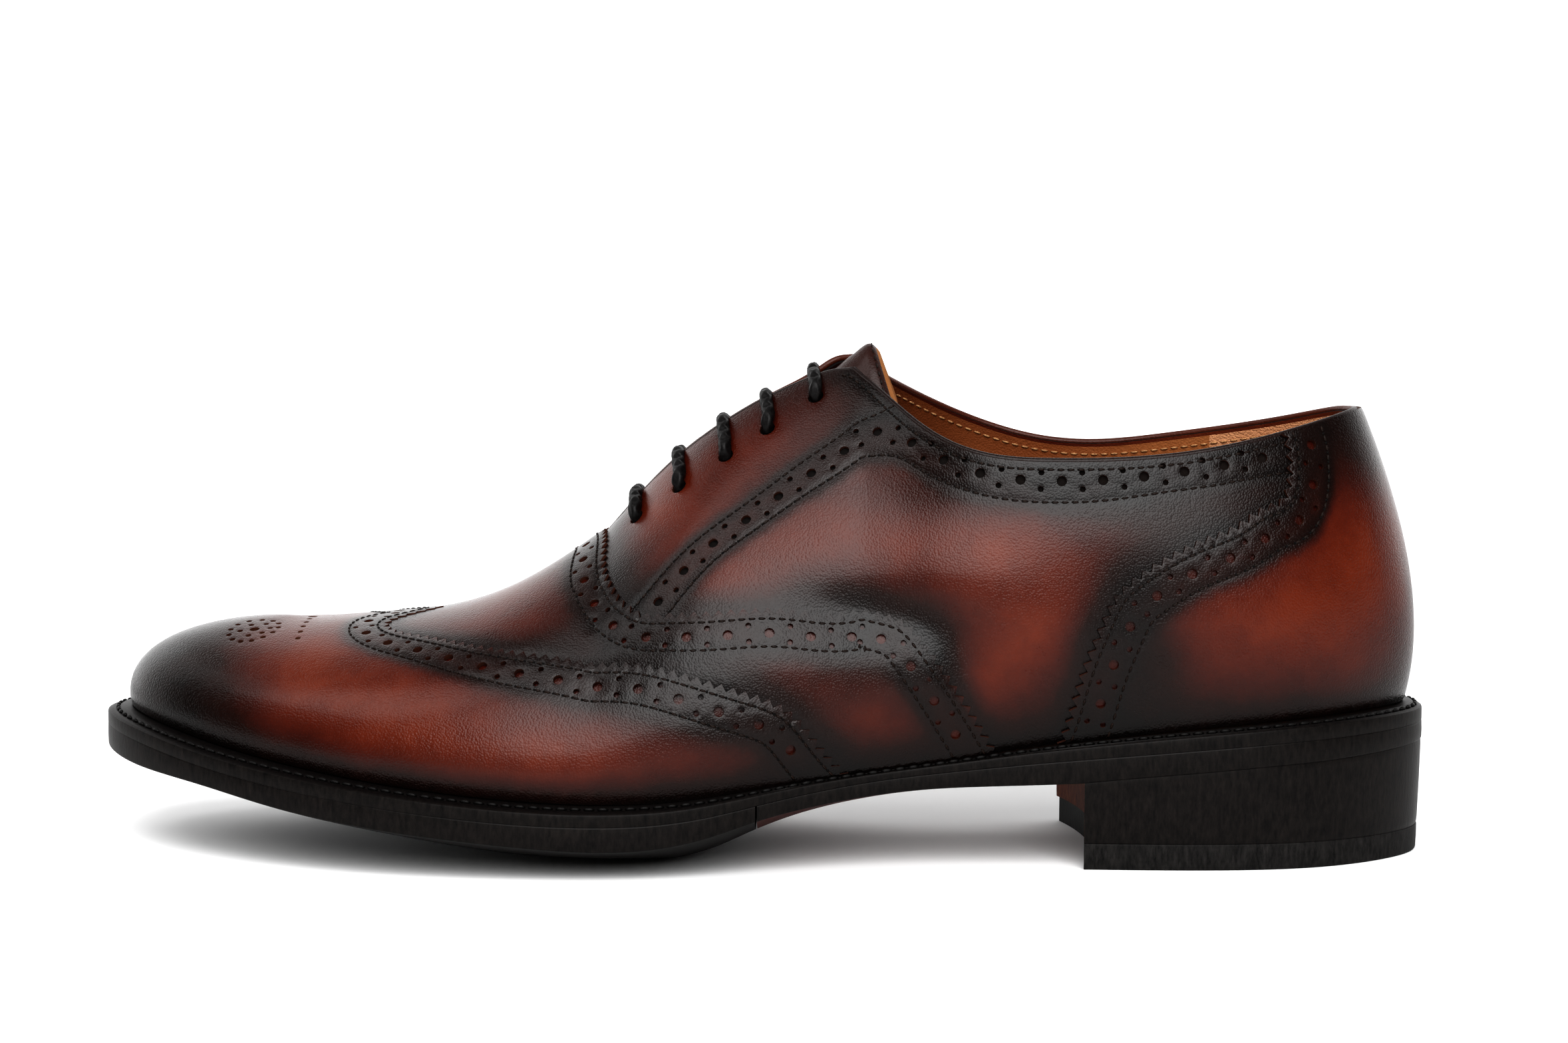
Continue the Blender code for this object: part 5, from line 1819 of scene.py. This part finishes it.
# %% Sewing
def sew(name, lines, pitch, length, width, thread):
    """Lay stitches along lines of space points."""
    points = np.concatenate(lines) * MM
    edges = []
    start = 0
    for line in lines:
        edges += [(start + i, start + i + 1) for i in range(len(line) - 1)]
        start += len(line)
    guide = bpy.data.meshes.new(name)
    guide.from_pydata(points.tolist(), edges, [])
    made = bpy.data.objects.new(name, guide)
    bpy.context.scene.collection.objects.link(made)
    nodes = made.modifiers.new("stitches", "NODES")
    nodes.node_group = STITCHES
    values = {"Pitch": pitch * MM, "Length": length * MM, "Width": width * MM, "Thread": thread}
    for item in STITCHES.interface.items_tree:
        if item.in_out == "INPUT" and item.name in values:
            nodes[item.identifier] = values[item.name]
    bpy.context.view_layer.update()
    graph = bpy.context.evaluated_depsgraph_get()
    finished = bpy.data.meshes.new_from_object(made.evaluated_get(graph))
    made.modifiers.clear()
    made.data = finished
    finished.shade_smooth()
    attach(made, "root")
    print("%s: %d faces" % (name, len(finished.polygons)))
    return made


# %% [markdown]
# Thread is a little darker than the leather on the panels, tan inside and black on the welt. Each stitch
# ends in a needle hole. That could be punched too, but a dark dot sunk in the leather, painted shade of the
# hole, does.

# %% Rows of thread
# Sewing threads, twisted and waxed: a dull shine along each stitch
dark_thread = cloth("dark_brown_thread", "0f0805", "21130c", 0.5)
black_thread = cloth("black_welt_thread", "080707", "151312", 0.55)
tan_thread = cloth("tan_thread", "7a563a", "b08a62", 0.6)
# Each kind of stitch: pitch, length and width in mm
UPPER_STITCH = (2.2, 1.7, 0.58)
NEEDLE_HOLE = (2.2, 0.75, 0.75)
LINING_STITCH = (2.4, 1.9, 0.55)
TONGUE_STITCH = (2.2, 1.75, 0.5)
WELT_STITCH = (3.0, 2.6, 0.9)
THREAD_SUNK = 0.06
NEEDLE_SUNK = 0.2
LINING_ROW_SHARE = 0.958
upper_lines = [on_last(row, lift - THREAD_SUNK) for row, lift in threads]
upper_stitches = sew("upper_stitches", upper_lines, *UPPER_STITCH, dark_thread)
needle_lines = [on_last(every(row, 0.55)[2:], lift - NEEDLE_SUNK) for row, lift in threads]
needle_hole_shade = sew("needle_hole_shade", needle_lines, *NEEDLE_HOLE, hole_shade_black)
lining_row = np.linspace(CORNER + 0.01, math.pi, 240)
lining_lines = [leather(lining_row, LINING_ROW_SHARE, float(side), LINING_IN - 0.1) for side in (-1, 1)]
lining_stitches = sew("lining_stitches", lining_lines, *LINING_STITCH, tan_thread)
tongue_stitches = sew("tongue_stitches", [tongue_row], *TONGUE_STITCH, dark_thread)
welt_stitches = sew("welt_stitches", [welt_thread], *WELT_STITCH, black_thread)
